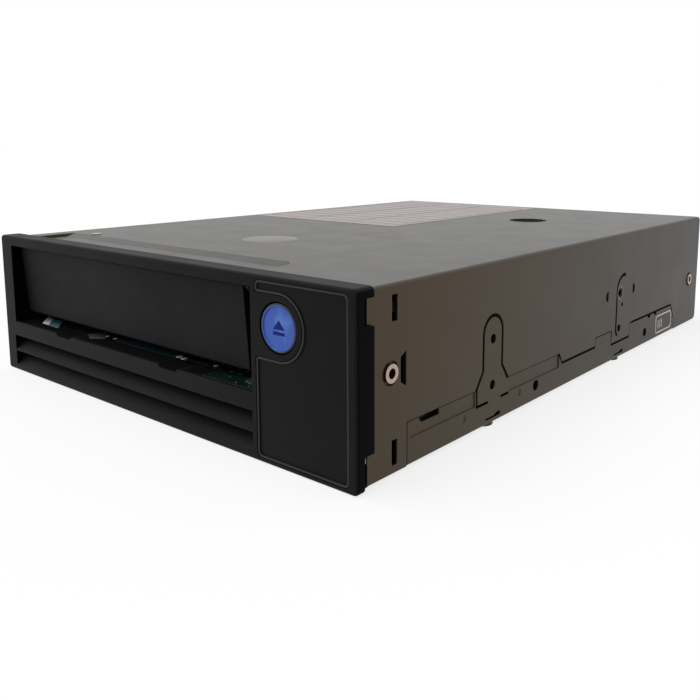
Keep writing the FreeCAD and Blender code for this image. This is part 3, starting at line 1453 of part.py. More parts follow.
def build_gears():
    x, y = size(GEAR_X), size("gear_y")
    wheel_teeth, motor_teeth = int(size("wheel_teeth")), int(size("motor_teeth"))
    pinion_teeth = int(size("pinion_teeth"))
    wheel_module = size("wheel_module")
    level, face = size("wheel_level"), size("wheel_face")
    angle = size("motor_angle")
    wheel = gear_blank(wheel_teeth, wheel_module, angle, level, face)
    rack_low, rack_face = size("rack_bottom"), size("rack_height")
    pinion = gear_blank(pinion_teeth, size("rack_module"), 180 + 180 / pinion_teeth, rack_low, rack_face)
    boss = Part.makeCylinder(size("gear_boss"), rack_low - level, FreeCAD.Vector(0, 0, level))
    through = rack_low + rack_face - level + 2 * OVER
    bore = Part.makeCylinder(size("gear_shaft + running_gap"), through, FreeCAD.Vector(0, 0, level - OVER))
    gear = doc.addObject("Part::Feature", "reduction_gear")
    gear.Shape = wheel.fuse([boss, pinion]).cut(bore).removeSplitter()
    kept(gear, "reduction_gear", GEAR_X, "gear_y")
    shaft = rod("0", "0", DECK_TOP, "gear_shaft", f"rack_bottom + rack_height - {DECK_TOP} + loader_gap")
    collar = rod("0", "0", DECK_TOP, "gear_boss", f"wheel_level - {DECK_TOP} - loader_gap")
    kept(joined([shaft, collar]), "gear_shaft", GEAR_X, "gear_y")
    distance = "(wheel_module * (wheel_teeth + motor_teeth) / 2)"
    motor_x = f"{GEAR_X} + {distance} * cos(motor_angle)"
    motor_y = f"gear_y + {distance} * sin(motor_angle)"
    small = gear_blank(motor_teeth, wheel_module, angle + 180 + 180 / motor_teeth, level, face)
    motor_top = size(f"{DECK_TOP} + motor_height")
    depth = size("motor_shaft_depth")
    spindle = Part.makeCylinder(
        size("motor_shaft"), level + face - motor_top + depth, FreeCAD.Vector(0, 0, motor_top - depth)
    )
    pinion = doc.addObject("Part::Feature", "motor_pinion")
    pinion.Shape = small.fuse(spindle).removeSplitter()
    kept(pinion, "motor_pinion", motor_x, motor_y)
    can = rod("0", "0", DECK_TOP, "motor_radius", "motor_height - motor_neck")
    neck = rod("0", "0", DECK_TOP, "motor_neck_radius", "motor_height")
    seat = f"{DECK_TOP} + motor_height - motor_shaft_depth - end_gap"
    bearing = rod("0", "0", seat, "motor_shaft + running_gap", f"motor_shaft_depth + end_gap + {OVER}")
    kept(without(joined([can, neck]), [bearing]), "loader_motor", motor_x, motor_y)


# ---- Reels -------------------------------------------------------------------------------------


def build_reels():
    board = block("-motor_board_left", "motor_board_right", "motor_board_front", "motor_board_rear",
                  "motor_board_level", "motor_board_level + board_sheet")
    group("supply_motor_board", [board])
    stator_low = "(motor_board_level + board_sheet)"
    body = new_body("supply_motor_stator", CENTRE, "supply_y")
    turned(body, [
        ("spindle_radius + running_gap", stator_low), ("stator_radius", stator_low),
        ("stator_radius", f"{stator_low} + stator_height"),
        ("spindle_radius + running_gap", f"{stator_low} + stator_height"),
    ])
    body = new_body("supply_reel_chuck", CENTRE, "supply_y")
    low = f"({stator_low} + stator_height + chuck_seat)"
    face = "(chuck_top - chuck_tooth)"
    turned(body, [
        ("0", f"{stator_low} + end_gap"), ("spindle_radius", f"{stator_low} + end_gap"),
        ("spindle_radius", low),
        ("chuck_radius", low), ("chuck_radius", face), ("chuck_radius - chuck_ring", face),
        ("chuck_radius - chuck_ring", f"{face} - chuck_dish"), ("0", f"{face} - chuck_dish"),
    ])
    count = int(size("chuck_teeth"))
    inner, outer = "(chuck_radius - chuck_ring + chuck_tooth_inset)", "(chuck_radius - chuck_tooth_inset)"
    half = 90 / count
    narrow = half * size("chuck_tooth_taper")
    teeth = []
    for number in range(count):
        middle = 360 * number / count
        corners = ((inner, -half), (outer, -narrow), (outer, narrow), (inner, half))
        teeth.append([
            (f"{radius} * cos({middle + angle})", f"{radius} * sin({middle + angle})")
            for radius, angle in corners
        ])
    pad(body, "top", f"{face} - {SUNK}", f"chuck_tooth + {SUNK}", *teeth)
    body = new_body("takeup_motor_stator", "-takeup_x", "takeup_y")
    inner_low = "takeup_level + takeup_flange"
    inner_high = f"{inner_low} + tape_width"
    turned(body, [
        ("0", DECK_TOP), ("takeup_stator_radius", DECK_TOP),
        ("takeup_stator_radius", f"{DECK_TOP} + takeup_stator_height"),
        ("spindle_radius", f"{DECK_TOP} + takeup_stator_height"),
        ("spindle_radius", inner_high), ("0", inner_high),
    ])
    body = new_body("takeup_reel", "-takeup_x", "takeup_y")
    low = "takeup_level"
    high = f"{inner_high} + takeup_flange"
    bore = "spindle_radius + running_gap"
    turned(body, [
        (bore, low), ("takeup_radius", low), ("takeup_radius", inner_low), ("takeup_hub", inner_low),
        ("takeup_hub", inner_high), ("takeup_radius", inner_high), ("takeup_radius", high),
        ("takeup_hub - reel_wall", high), ("takeup_hub - reel_wall", f"{inner_low} + reel_web"),
        (bore, f"{inner_low} + reel_web"),
    ])
    mouth = rectangle("0", f"takeup_hub + {OVER}", "-hub_slot / 2", "hub_slot / 2")
    cut(body, "top", f"{inner_low} + reel_web", "tape_width + takeup_flange", mouth)


# ---- Tape path and head ------------------------------------------------------------------------

PATH_TOP = f"({DECK_TOP} + path_plate)"
ROLLERS = [
    ("roller_in_x", "roller_in_y"),
    ("roller_front_x", "roller_front_y"),
    ("roller_rear_x", "roller_rear_y"),
    ("roller_out_x", "roller_out_y"),
]
ROLLER_TOP = "(roller_level + tape_width + 2 * roller_flange_height)"
HEAD_LOW = "(head_middle - head_height / 2)"
ROD_PLACES = ("head_y - guide_rod_spread", "head_y + guide_rod_spread")


def build_tape_path():
    body = new_body("tape_path_base")
    plate = [
        ("path_left", "path_front"), ("path_right - path_chamfer", "path_front"),
        ("path_right", "path_front + path_chamfer"), ("path_right", "path_rear - path_chamfer"),
        ("path_right - path_chamfer", "path_rear"), ("path_left", "path_rear"),
    ]
    pad(body, "top", DECK_TOP, "path_plate", plate)
    seats = [("circle", x, y, "roller_seat") for x, y in ROLLERS]
    pad(body, "top", f"{PATH_TOP} - {SUNK}", f"roller_level - loader_gap - {PATH_TOP} + {SUNK}", *seats)
    posts = [("circle", x, y, "roller_post") for x, y in ROLLERS]
    pad(body, "top", f"{PATH_TOP} - {SUNK}", f"{ROLLER_TOP} - {PATH_TOP} + {SUNK}", *posts)
    column = rectangle(
        "lead_screw_x - column_reach", "lead_screw_x - column_reach + column_width",
        "head_y - column_depth / 2", "head_y + column_depth / 2",
    )
    pad(body, "top", f"{PATH_TOP} - {SUNK}", f"head_bracket_level - {PATH_TOP} + {SUNK}", column)
    holes = [("circle", "guide_rod_x", y, "guide_rod") for y in ROD_PLACES]
    holes.append(("circle", "lead_screw_x", "head_y", "lead_screw + running_gap"))
    cut(body, "top", f"{PATH_TOP} - rod_seat", f"rod_seat + {OVER}", *holes)
    for number, (x, y) in enumerate(ROLLERS, 1):
        roller = new_body(f"guide_roller_{number}", x, y)
        low, high = "roller_level + roller_flange_height", f"{ROLLER_TOP} - roller_flange_height"
        bore = "roller_post + running_gap"
        turned(roller, [
            (bore, "roller_level"), ("roller_flange", "roller_level"), ("roller_flange", low),
            ("roller_radius", low), ("roller_radius", high), ("roller_flange", high),
            ("roller_flange", ROLLER_TOP), (bore, ROLLER_TOP),
        ])


def build_head():
    length = f"head_bracket_level - {PATH_TOP} + rod_seat"
    foot = f"{PATH_TOP} - rod_seat"
    group("head_guide_rods", [rod("guide_rod_x", y, foot, "guide_rod", length) for y in ROD_PLACES])
    screw = rod("0", "0", foot, "lead_screw", f"{length} + head_bracket_sheet + lead_screw_end")
    group("head_lead_screw", [screw], "lead_screw_x", "head_y")
    body = new_body("head_carriage")
    half = "carriage_depth / 2"
    low = "head_middle - carriage_height / 2"
    pad(body, "top", low, "carriage_height", rectangle(
        "carriage_left", "head_left", f"head_y - {half}", f"head_y + {half}"))
    holes = [("circle", "guide_rod_x", y, "guide_rod + running_gap") for y in ROD_PLACES]
    holes.append(("circle", "lead_screw_x", "head_y", "lead_screw + running_gap"))
    cut(body, "top", f"{low} - {OVER}", f"carriage_height + 2 * {OVER}", *holes)
    body = new_body("head_block")
    half = "head_depth / 2"
    nose = "head_nose"
    outline = [
        ("head_left", f"head_y - {half}"), (f"head_right - {nose}", f"head_y - {half}"),
        ("head_right", f"head_y - {half} + {nose}"), ("head_right", f"head_y + {half} - {nose}"),
        (f"head_right - {nose}", f"head_y + {half}"), ("head_left", f"head_y + {half}"),
    ]
    pad(body, "top", HEAD_LOW, "head_height", outline)
    body = new_body("head_bracket")
    near_reach = "(stepper_radius + bracket_margin)"
    far_reach = f"({near_reach} + bracket_flare)"
    inner, outer = "lead_screw_x - column_reach", "guide_rod_x + bracket_lip"
    pad(body, "top", "head_bracket_level", "head_bracket_sheet", [
        (inner, f"head_y - {near_reach}"), (outer, f"head_y - {far_reach}"),
        (outer, f"head_y + {far_reach}"), (inner, f"head_y + {near_reach}"),
    ])
    cut(body, "top", f"head_bracket_level - {OVER}", f"head_bracket_sheet + 2 * {OVER}",
        ("circle", "lead_screw_x", "head_y", "lead_screw + running_gap"))
    body = new_body("head_stepper", "lead_screw_x", "head_y")
    low = "(head_bracket_level + head_bracket_sheet)"
    high = f"{low} + stepper_height"
    bore = "lead_screw + running_gap"
    pocket = f"{low} + lead_screw_end + end_gap"
    turned(body, [
        (bore, low), ("stepper_radius", low), ("stepper_radius", high),
        ("0", high), ("0", pocket), (bore, pocket),
    ])


# ---- Electronics and fan -----------------------------------------------------------------------

BOARD_TOP = "(main_board_level + board_sheet)"


def socket(label, x, width, height, length, mouth_width, mouth_height, mouth_depth):
    """A shielded receptacle that opens rearwards through the rear panel."""
    shell = block(
        f"{x} - {width} / 2", f"{x} + {width} / 2", f"{REAR} - {length}", REAR,
        BOARD_TOP, f"{BOARD_TOP} + {height}",
    )
    low = f"({BOARD_TOP} + ({height} - {mouth_height}) / 2)"
    mouth = block(
        f"{x} - {mouth_width} / 2", f"{x} + {mouth_width} / 2",
        f"{REAR} - {mouth_depth}", f"{REAR} + {OVER}", low, f"{low} + {mouth_height}",
    )
    return kept(without(shell, [mouth]), label)


def chip(x, y, width, length):
    """A flat package soldered to the main board, centred on a point."""
    return block(
        f"{x} - {width} / 2", f"{x} + {width} / 2", f"{y} - {length} / 2", f"{y} + {length} / 2",
        BOARD_TOP, f"{BOARD_TOP} + chip_height",
    )


def build_electronics():
    body = new_body("main_logic_board")
    half = "(main_board_width / 2)"
    board = rectangle(f"-{half}", half, "main_board_front", "main_board_rear")
    pad(body, "top", "main_board_level", "board_sheet", board)
    fan_corner = rectangle(
        "fan_x - fan_size / 2 - fan_clearance", f"{half} + {OVER}",
        f"{REAR} - rear_sheet - fan_depth - fan_clearance", f"main_board_rear + {OVER}",
    )
    cut(body, "top", f"main_board_level - {OVER}", f"board_sheet + 2 * {OVER}", fan_corner)
    posts = [hexagon(x, y, "deck_post + post_clearance") for x, y in DECK_POSTS if y != "deck_post_front"]
    cut(body, "top", f"main_board_level - {OVER}", f"board_sheet + 2 * {OVER}", *posts)
    chips = [
        chip("-processor_x", "processor_y", "processor_size", "processor_size"),
        chip("-servo_chip_x", "servo_chip_y", "servo_chip_size", "servo_chip_size"),
        chip("driver_x", "driver_y", "driver_size", "driver_size"),
        chip("interface_x", "interface_y", "interface_size", "interface_size"),
        chip("memory_x", "memory_y", "memory_width", "memory_length"),
        chip("(memory_x + memory_pitch)", "memory_y", "memory_width", "memory_length"),
    ]
    group("board_chips", chips)
    socket("ethernet_jack", "-jack_x", "jack_width", "jack_height", "jack_length",
           "jack_mouth_width", "jack_mouth_height", "jack_mouth_depth")
    socket("host_connector", "-host_x", "host_width", "host_height", "host_length",
           "host_mouth_width", "host_mouth_height", "host_mouth_depth")
    socket("library_port", "port_x", "port_width", "port_height", "port_length",
           "port_mouth_width", "port_mouth_height", "port_mouth_depth")


def build_fan():
    front = f"({REAR} - rear_sheet - fan_depth)"
    half = "(fan_size / 2)"
    body = new_body("fan_frame")
    square = rectangle(f"fan_x - {half}", f"fan_x + {half}", f"{FAN_Z} - {half}", f"{FAN_Z} + {half}")
    pad(body, "front", front, "fan_depth", square)
    bore = ("circle", "fan_x", FAN_Z, "fan_bore")
    cut(body, "front", f"{front} - {OVER}", f"fan_depth + 2 * {OVER}", bore)
    pad(body, "front", front, "fan_spider", ("circle", "fan_x", FAN_Z, "fan_hub"))
    reach = f"(fan_bore + {SUNK})"
    left, right = "fan_x - fan_strut / 2", "fan_x + fan_strut / 2"
    strut = rectangle(left, right, f"{FAN_Z} - {reach}", f"{FAN_Z} + {reach}")
    pad(body, "front", front, "fan_spider", strut)
    pad(body, "front", front, "fan_depth - fan_pin_end", ("circle", "fan_x", FAN_Z, "fan_pin"))
    hub = rod("0", "0", "0", "fan_hub", "fan_depth - fan_spider - 2 * fan_end_gap", "rearwards")
    blades = []
    chord = size("fan_blade_chord")
    start = FreeCAD.Vector(size("fan_hub - fan_blade_root"), -size("fan_blade_sheet") / 2, -chord / 2)
    middle = FreeCAD.Vector(0, size("fan_depth - fan_spider - 2 * fan_end_gap") / 2, 0)
    pitch = FreeCAD.Rotation(FreeCAD.Vector(1, 0, 0), size("fan_pitch"))
    count = int(size("fan_blades"))
    for number in range(count):
        blade = doc.addObject("Part::Box", "blade")
        bind(blade, Length="fan_tip - fan_hub + fan_blade_root", Width="fan_blade_sheet")
        bind(blade, Height="fan_blade_chord")
        turn = FreeCAD.Rotation(FreeCAD.Vector(0, 1, 0), 360 * number / count)
        spoke = FreeCAD.Placement(middle, turn * pitch)
        blade.Placement = spoke.multiply(FreeCAD.Placement(start, FreeCAD.Rotation()))
        blades.append(blade)
    pin = rod("0", f"-{OVER}", "0", "fan_pin + running_gap", "fan_depth", "rearwards")
    rotor = without(joined([hub] + blades), [pin])
    kept(rotor, "fan_rotor", "fan_x", f"{front} + fan_spider + fan_end_gap", FAN_Z)


# ---- Build, check and write --------------------------------------------------------------------

build_bezel()
build_status_panel()
build_eject_button()
build_button_spring()
build_cartridge_door()
build_door_hinge()
build_front_board()
build_top_cover()
build_base_tray()
build_rear_panel()
build_deck()
build_screws()
build_tray()
build_carriage()
build_cams()
build_rails()
build_gears()
build_reels()
build_tape_path()
build_head()
build_electronics()
build_fan()
doc.recompute()

failed = [thing.Name for thing in doc.Objects if "Invalid" in thing.State or "Error" in thing.State]
if failed:
    raise RuntimeError(f"these did not build: {failed}")
for piece in pieces:
    if piece.Shape.isNull() or not piece.Shape.isValid():
        raise RuntimeError(f"{piece.Label} has no valid shape")

os.makedirs("parts", exist_ok=True)
for piece in pieces:
    piece.Shape.exportStep(f"parts/{piece.Label}.step")
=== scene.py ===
"""The looks of a half-height cartridge tape drive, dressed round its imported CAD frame.

Lengths are written in millimetres and become metres through MM. The frame is the CAD model's own:
X to the right seen from the front, Y rearwards, Z up, with the drive standing on Z = 0.
"""

import json
import logging
import math
from dataclasses import dataclass, field
from enum import Enum
from typing import Any, Sequence

import bmesh
import bpy
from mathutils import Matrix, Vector


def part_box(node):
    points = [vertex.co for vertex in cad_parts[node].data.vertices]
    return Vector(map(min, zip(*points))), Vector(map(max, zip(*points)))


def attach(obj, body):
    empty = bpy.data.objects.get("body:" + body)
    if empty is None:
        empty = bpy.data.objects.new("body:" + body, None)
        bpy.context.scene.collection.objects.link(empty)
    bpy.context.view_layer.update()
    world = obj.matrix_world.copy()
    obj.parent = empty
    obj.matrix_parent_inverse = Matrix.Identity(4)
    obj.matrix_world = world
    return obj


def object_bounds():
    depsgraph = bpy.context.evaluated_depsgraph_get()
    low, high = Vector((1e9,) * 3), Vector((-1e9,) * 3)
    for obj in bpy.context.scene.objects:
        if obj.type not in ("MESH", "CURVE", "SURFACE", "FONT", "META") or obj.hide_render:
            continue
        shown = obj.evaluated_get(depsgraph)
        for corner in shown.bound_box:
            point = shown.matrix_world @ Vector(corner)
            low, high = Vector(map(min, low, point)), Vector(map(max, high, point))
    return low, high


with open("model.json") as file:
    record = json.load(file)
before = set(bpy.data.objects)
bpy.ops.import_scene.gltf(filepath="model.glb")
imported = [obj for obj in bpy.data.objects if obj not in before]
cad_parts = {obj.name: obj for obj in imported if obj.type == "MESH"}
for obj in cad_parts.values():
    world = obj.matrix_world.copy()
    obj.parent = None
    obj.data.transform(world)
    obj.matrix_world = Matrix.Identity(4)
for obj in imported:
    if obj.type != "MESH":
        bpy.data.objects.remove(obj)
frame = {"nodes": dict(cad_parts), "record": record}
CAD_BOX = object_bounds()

Tree = bpy.types.NodeTree
Node = bpy.types.Node
Socket = bpy.types.NodeSocket
Mesh = bpy.types.Mesh
Shape = bmesh.types.BMesh
Points = list[tuple[float, float]]
Outline = Sequence[tuple[float, float]]
Relief = list[tuple[Socket, float]]

LOG = logging.getLogger("tape_drive")
MM = 0.001
# In radians: edges below the first are shaded round, and those above the second get a chamfer.
SMOOTH_ANGLE = math.radians(32)
SHARP_ANGLE = 0.5


# ---- Places in the frame ----


@dataclass(frozen=True)
class Place:
    """The box of a node or of an opening at rest, in millimetres, with Y counted from the bezel's front.

    Left and right are its lowest and highest X, front and rear those of Y, low and high those of Z.
    """

    left: float
    right: float
    front: float
    rear: float
    low: float
    high: float

    @classmethod
    def between(cls, lowest: Sequence[float], highest: Sequence[float]) -> "Place":
        """The place between two corners given in metres.

        Args:
            lowest: the corner with the lowest X, Y and Z.
            highest: the opposite corner.

        Returns:
            The place, in millimetres.
        """
        start = CAD_BOX[0][1]
        x, y, z = ([round(corner[axis] / MM, 3) for corner in (lowest, highest)] for axis in range(3))
        return cls(*x, *(round(edge - start / MM, 3) for edge in y), *z)

    @classmethod
    def of_node(cls, node: str) -> "Place":
        """The place of a CAD node."""
        return cls.between(*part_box(node))

    @classmethod
    def of_opening(cls, name: str) -> "Place":
        """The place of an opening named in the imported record."""
        found = next(o for o in frame["record"]["physics"]["openings"] if o["name"] == name)
        return cls.between(*found["box_m"])

    @classmethod
    def of_bolts(cls, name: str) -> "Place":
        """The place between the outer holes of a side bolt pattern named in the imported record.

        Args:
            name: the pattern's name in the record.

        Returns:
            The place, which is flat in X.
        """
        found = next(m for m in frame["record"]["mounts"] if m["name"] == name)
        x, y, z = found["pos_m"]
        along, up = (found["dims"][size] * MM / 2 for size in ("spacing_x_mm", "spacing_y_mm"))
        return cls.between((x, y - along, z - up), (x, y + along, z + up))

    @property
    def middle(self) -> tuple[float, float]:
        """Its middle in X and Z, to 0.1 mm: the facets of a round piece leave its box a little lopsided."""
        return round((self.left + self.right) / 2, 1), round((self.low + self.high) / 2, 1)


BEZEL = Place.of_node("bezel")
BUTTON = Place.of_node("eject_button")
COVER = Place.of_node("top_cover")
DOOR = Place.of_node("cartridge_door")
MOUTH = Place.of_opening("cartridge_mouth")
FIXINGS = Place.of_bolts("side_fixings_right")
SIDES = (("right", 1), ("left", -1))


# ---- Small helpers ----


def linear(colour: str) -> tuple[float, float, float, float]:
    """An sRGB hex colour as linear red, green, blue and alpha, as a shader socket takes them.

    Args:
        colour: six hex digits after a hash.

    Returns:
        The four values.
    """
    parts = [int(colour[start:start + 2], 16) / 255 for start in (1, 3, 5)]
    red, green, blue = (c / 12.92 if c <= 0.04045 else ((c + 0.055) / 1.055) ** 2.4 for c in parts)
    return (red, green, blue, 1.0)


def cleared(owner: bpy.types.Material | bpy.types.World) -> Tree:
    """The shader tree of a material or a world, emptied.

    Args:
        owner: the material or the world.

    Returns:
        The empty tree.
    """
    owner.use_nodes = True
    owner.node_tree.nodes.clear()
    return owner.node_tree


def add_node(tree: Tree, kind: str, settings: dict[str, Any] | None = None, **inputs: Any) -> Node:
    """Add a node to a shader or geometry tree.

    Args:
        tree: the tree that gets the node.
        kind: the node's type name.
        settings: the node's own properties.
        **inputs: a value, a socket or a node for each input. A name like at_1 means the input's
            number, and any other name is the socket's own in small letters, with _ for a space.

    Returns:
        The new node.
    """
    made = tree.nodes.new(kind)
    for name, value in (settings or {}).items():
        setattr(made, name, value)
    for name, value in inputs.items():
        if name.startswith("at_"):
            target = made.inputs[int(name[3:])]
        else:
            target = next(s for s in made.inputs if s.enabled and s.name.lower().replace(" ", "_") == name)
        if isinstance(value, Node):
            value = next(s for s in value.outputs if s.enabled)
        if isinstance(value, Socket):
            tree.links.new(value, target)
        else:
            target.default_value = value
    return made


# ---- Finishes ----


@dataclass(frozen=True)
class Finish:
    """A real material and how its surface was made.

    Attributes:
        name: the material's name.
        colour: its sRGB colour.
        roughness: how dull it is, from 0 to 1.
        metallic: 1 for bare metal.
        specular: the dielectric gloss level, 0.5 for a plain polymer.
        edge: radius in millimetres of the softened edge that light catches.
        mottle: how far the colour drifts over the surface.
        mottle_size: size of that drift in millimetres.
    """

    name: str
    colour: str
    roughness: float = 0.5
    metallic: float = 0.0
    specular: float = 0.5
    edge: float = 0.0
    mottle: float = 0.06
    mottle_size: float = 18.0

    def material(self) -> bpy.types.Material:
        """The Blender material, made once and shared.

        Returns:
            The material.
        """
        made = bpy.data.materials.get(self.name)
        if made:
            return made
        made = bpy.data.materials.new(self.name)
        tree = cleared(made)
        place = add_node(tree, "ShaderNodeTexCoord").outputs["Object"]
        shader = add_node(tree, "ShaderNodeBsdfPrincipled", metallic=self.metallic, roughness=self.roughness,
                          specular_ior_level=self.specular)
        add_node(tree, "ShaderNodeOutputMaterial", surface=shader)
        self.colour_in(tree, place, shader)
        bump = None
        if self.edge:
            bump = add_node(tree, "ShaderNodeBevel", {"samples": 4}, radius=self.edge * MM)
        for height, depth in self.relief(tree, place):
            under = {"normal": bump} if bump else {}
            bump = add_node(tree, "ShaderNodeBump", height=height, distance=depth * MM, strength=1.0, **under)
        if bump:
            tree.links.new(bump.outputs["Normal"], shader.inputs["Normal"])
        self.gloss(tree, place, shader)
        return made

    def uneven(self, tree: Tree, place: Socket, size: float,
               detail: float = 2.0, stretch: Sequence[float] = (1, 1, 1)) -> Node:
        """An uneven pattern with features about size millimetres wide, made longer by the stretch."""
        scaled = add_node(tree, "ShaderNodeMapping", vector=place, scale=[1 / s for s in stretch])
        return add_node(tree, "ShaderNodeTexNoise", vector=scaled, scale=1 / (size * MM), detail=detail)

    def colour_in(self, tree: Tree, place: Socket, shader: Node) -> None:
        """Let the colour drift a little, as no real batch is even.

        Args:
            tree: the tree that gets the nodes.
            place: the coordinates that the pattern follows.
            shader: the surface shader.
        """
        base = linear(self.colour)
        low = [c * (1 - self.mottle) for c in base[:3]] + [1]
        high = [c * (1 + self.mottle) for c in base[:3]] + [1]
        drift = self.uneven(tree, place, self.mottle_size)
        self.recolour(tree, shader, drift, high, low)

    def recolour(self, tree: Tree, shader: Node, share: Node,
                 over: Sequence[float], under: Sequence[float] | None = None) -> None:
        """Lay a linear colour over the surface's colour.

        Args:
            tree: the tree that gets the nodes.
            shader: the surface shader.
            share: the node that gives how much of it shows, from 0 to 1.
            over: the colour.
            under: the colour below it, or nothing for what the surface has so far.
        """
        below = under or shader.inputs["Base Color"].links[0].from_socket
        mix = add_node(tree, "ShaderNodeMix", {"data_type": "RGBA"}, factor=share.outputs[0], a=below, b=over)
        tree.links.new(mix.outputs[2], shader.inputs["Base Color"])

    def facing(self, tree: Tree, axis: int) -> Node:
        """How squarely a face looks along an axis: 0 across it, 1 along it.

        Args:
            tree: the tree that gets the nodes.
            axis: 0, 1 or 2 for X, Y or Z.

        Returns:
            The node that gives the share.
        """
        faced = add_node(tree, "ShaderNodeSeparateXYZ",
                         vector=add_node(tree, "ShaderNodeNewGeometry").outputs["True Normal"])
        size = add_node(tree, "ShaderNodeMath", {"operation": "ABSOLUTE"}, at_0=faced.outputs[axis])
        return add_node(tree, "ShaderNodeMapRange", value=size, from_min=0.7, from_max=0.95)

    def relief(self, tree: Tree, place: Socket) -> Relief:
        """Height patterns with their depths in millimetres. A plain finish has none."""
        return []

    def gloss(self, tree: Tree, place: Socket, shader: Node) -> None:
        """Vary the roughness where handling and process leave the surface uneven.

        Args:
            tree: the tree that gets the nodes.
            place: the coordinates that the pattern follows.
            shader: the surface shader.
        """
        worn = self.uneven(tree, place, self.mottle_size * 0.6, 4.0)
        level = add_node(tree, "ShaderNodeMapRange", value=worn.outputs[0], to_min=self.roughness * 0.88,
                         to_max=min(1.0, self.roughness * 1.12))
        tree.links.new(level.outputs[0], shader.inputs["Roughness"])


@dataclass(frozen=True)
class Moulded(Finish):
    """An injection-moulded polymer whose tool was spark eroded: a fine even grain that scatters light.

    Attributes:
        grain: width of a grain in millimetres, drawn coarse enough to show.
        depth: its depth in millimetres.
        wall: sRGB colour of painted shade on the walls that face sideways, which keeps them dark, or nothing.
    """

    grain: float = 0.35
    depth: float = 0.012
    wall: str = ""

    def colour_in(self, tree: Tree, place: Socket, shader: Node) -> None:
        """Colour the grained faces, and paint shade on the walls that face sideways: a dark colour and less
        gloss.

        Args:
            tree: the tree that gets the nodes.
            place: the coordinates that the pattern follows.
            shader: the surface shader.
        """
        super().colour_in(tree, place, shader)
        if not self.wall:
            return
        # Painted shade: faces that look sideways along X take the dark wall colour and lose most of their
        # gloss.
        share = self.facing(tree, 0)
        self.recolour(tree, shader, share, linear(self.wall))
        gloss = add_node(tree, "ShaderNodeMapRange", value=share, to_min=self.specular, to_max=0.03)
        tree.links.new(gloss.outputs[0], shader.inputs["Specular IOR Level"])

    def relief(self, tree: Tree, place: Socket) -> Relief:
        """The eroded grain, over a slow flow that moulded flats have.

        Args:
            tree: the tree that gets the nodes.
            place: the coordinates that the pattern follows.

        Returns:
            The patterns' heights with their depths.
        """
        flow = self.uneven(tree, place, self.grain * 60, 1.0)
        grain = self.uneven(tree, place, self.grain, 3.0)
        return [(flow.outputs[0], self.depth * 4), (grain.outputs[0], self.depth)]


@dataclass(frozen=True)
class MouldedCap(Moulded):
    """A round moulded cap, with a painted highlight in soft streaks across its face and painted shade on its
    turned-in rim.

    Attributes:
        centre: the cap's middle in X and Z, in millimetres.
        face_radius: where the rim begins, in millimetres.
        rim: sRGB colour of the painted shade on the rim.
        glow: sRGB colour of the painted highlight in the streaks across the face.
    """

    centre: tuple[float, float] = (0.0, 0.0)
    face_radius: float = 5.0
    rim: str = "#10182e"
    glow: str = "#6d9af0"

    def colour_in(self, tree: Tree, place: Socket, shader: Node) -> None:
        """Colour the face, paint a highlight in soft bright streaks across it, and paint shade on the rim.

        Args:
            tree: the tree that gets the nodes.
            place: the coordinates that the pattern follows.
            shader: the surface shader.
        """
        super().colour_in(tree, place, shader)
        x, z = self.centre
        flat = add_node(tree, "ShaderNodeVectorMath", {"operation": "MULTIPLY"}, at_0=place, at_1=(1, 0, 1))
        away = add_node(tree, "ShaderNodeVectorMath", {"operation": "DISTANCE"}, at_0=flat,
                        at_1=(x * MM, 0, z * MM))
        # Painted highlight: soft pale streaks across the face.
        streak = self.uneven(tree, place, 3.2, 1.0, (1.0, 1.0, 1.4))
        painted_highlight = add_node(tree, "ShaderNodeMapRange", value=streak, from_min=0.48, from_max=0.72, to_max=0.75)
        self.recolour(tree, shader, painted_highlight, linear(self.glow))
        # Painted shade: the rim beyond the face's radius turns dark.
        edge = add_node(tree, "ShaderNodeMapRange", value=away.outputs["Value"],
                        from_min=(self.face_radius - 0.15) * MM, from_max=(self.face_radius + 0.2) * MM)
        self.recolour(tree, shader, edge, linear(self.rim))


@dataclass(frozen=True)
class RolledSheet(Finish):
    """Cold-rolled coil: faint streaks along the rolling direction and a soft orange-peel coat.

    Attributes:
        streak: width of a streak in millimetres.
        streak_depth: its depth in millimetres.
        along: how much longer a streak is along X, Y and Z.
        far: sRGB colour of painted shade that darkens the sheet towards its rear end, or nothing.
        fade: where along Y of the frame that change begins and ends, in millimetres.
        top: sRGB colour of its level faces, a painted reflection that turns them a neutral grey.
    """

    streak: float = 0.6
    streak_depth: float = 0.004
    along: tuple[float, float, float] = (1.0, 40.0, 1.0)
    far: str = ""
    fade: tuple[float, float] = (-60.0, 90.0)
    top: str = "#43413c"

    def colour_in(self, tree: Tree, place: Socket, shader: Node) -> None:
        """Colour the sheet, paint shade on it from front to rear, and give its level faces a painted
        reflection.

        Args:
            tree: the tree that gets the nodes.
            place: the coordinates that the pattern follows.
            shader: the surface shader.
        """
        super().colour_in(tree, place, shader)
        if not self.far:
            return
        # Painted shade: darker and greyer from front to rear.
        depth = add_node(tree, "ShaderNodeSeparateXYZ", vector=place)
        share = add_node(tree, "ShaderNodeMapRange", value=depth.outputs[1], from_min=self.fade[0] * MM,
                         from_max=self.fade[1] * MM)
        self.recolour(tree, shader, share, linear(self.far))
        # Painted reflection: the level faces turn a neutral grey.
        self.recolour(tree, shader, self.facing(tree, 2), linear(self.top))

    def relief(self, tree: Tree, place: Socket) -> Relief:
        """Rolling streaks and the coat's own ripple.

        Args:
            tree: the tree that gets the nodes.
            place: the coordinates that the pattern follows.

        Returns:
            The patterns' heights with their depths.
        """
        ripple = self.uneven(tree, place, 2.4, 2.0)
        streaks = self.uneven(tree, place, self.streak, 2.0, self.along)
        return [(ripple.outputs[0], self.streak_depth * 2), (streaks.outputs[0], self.streak_depth)]


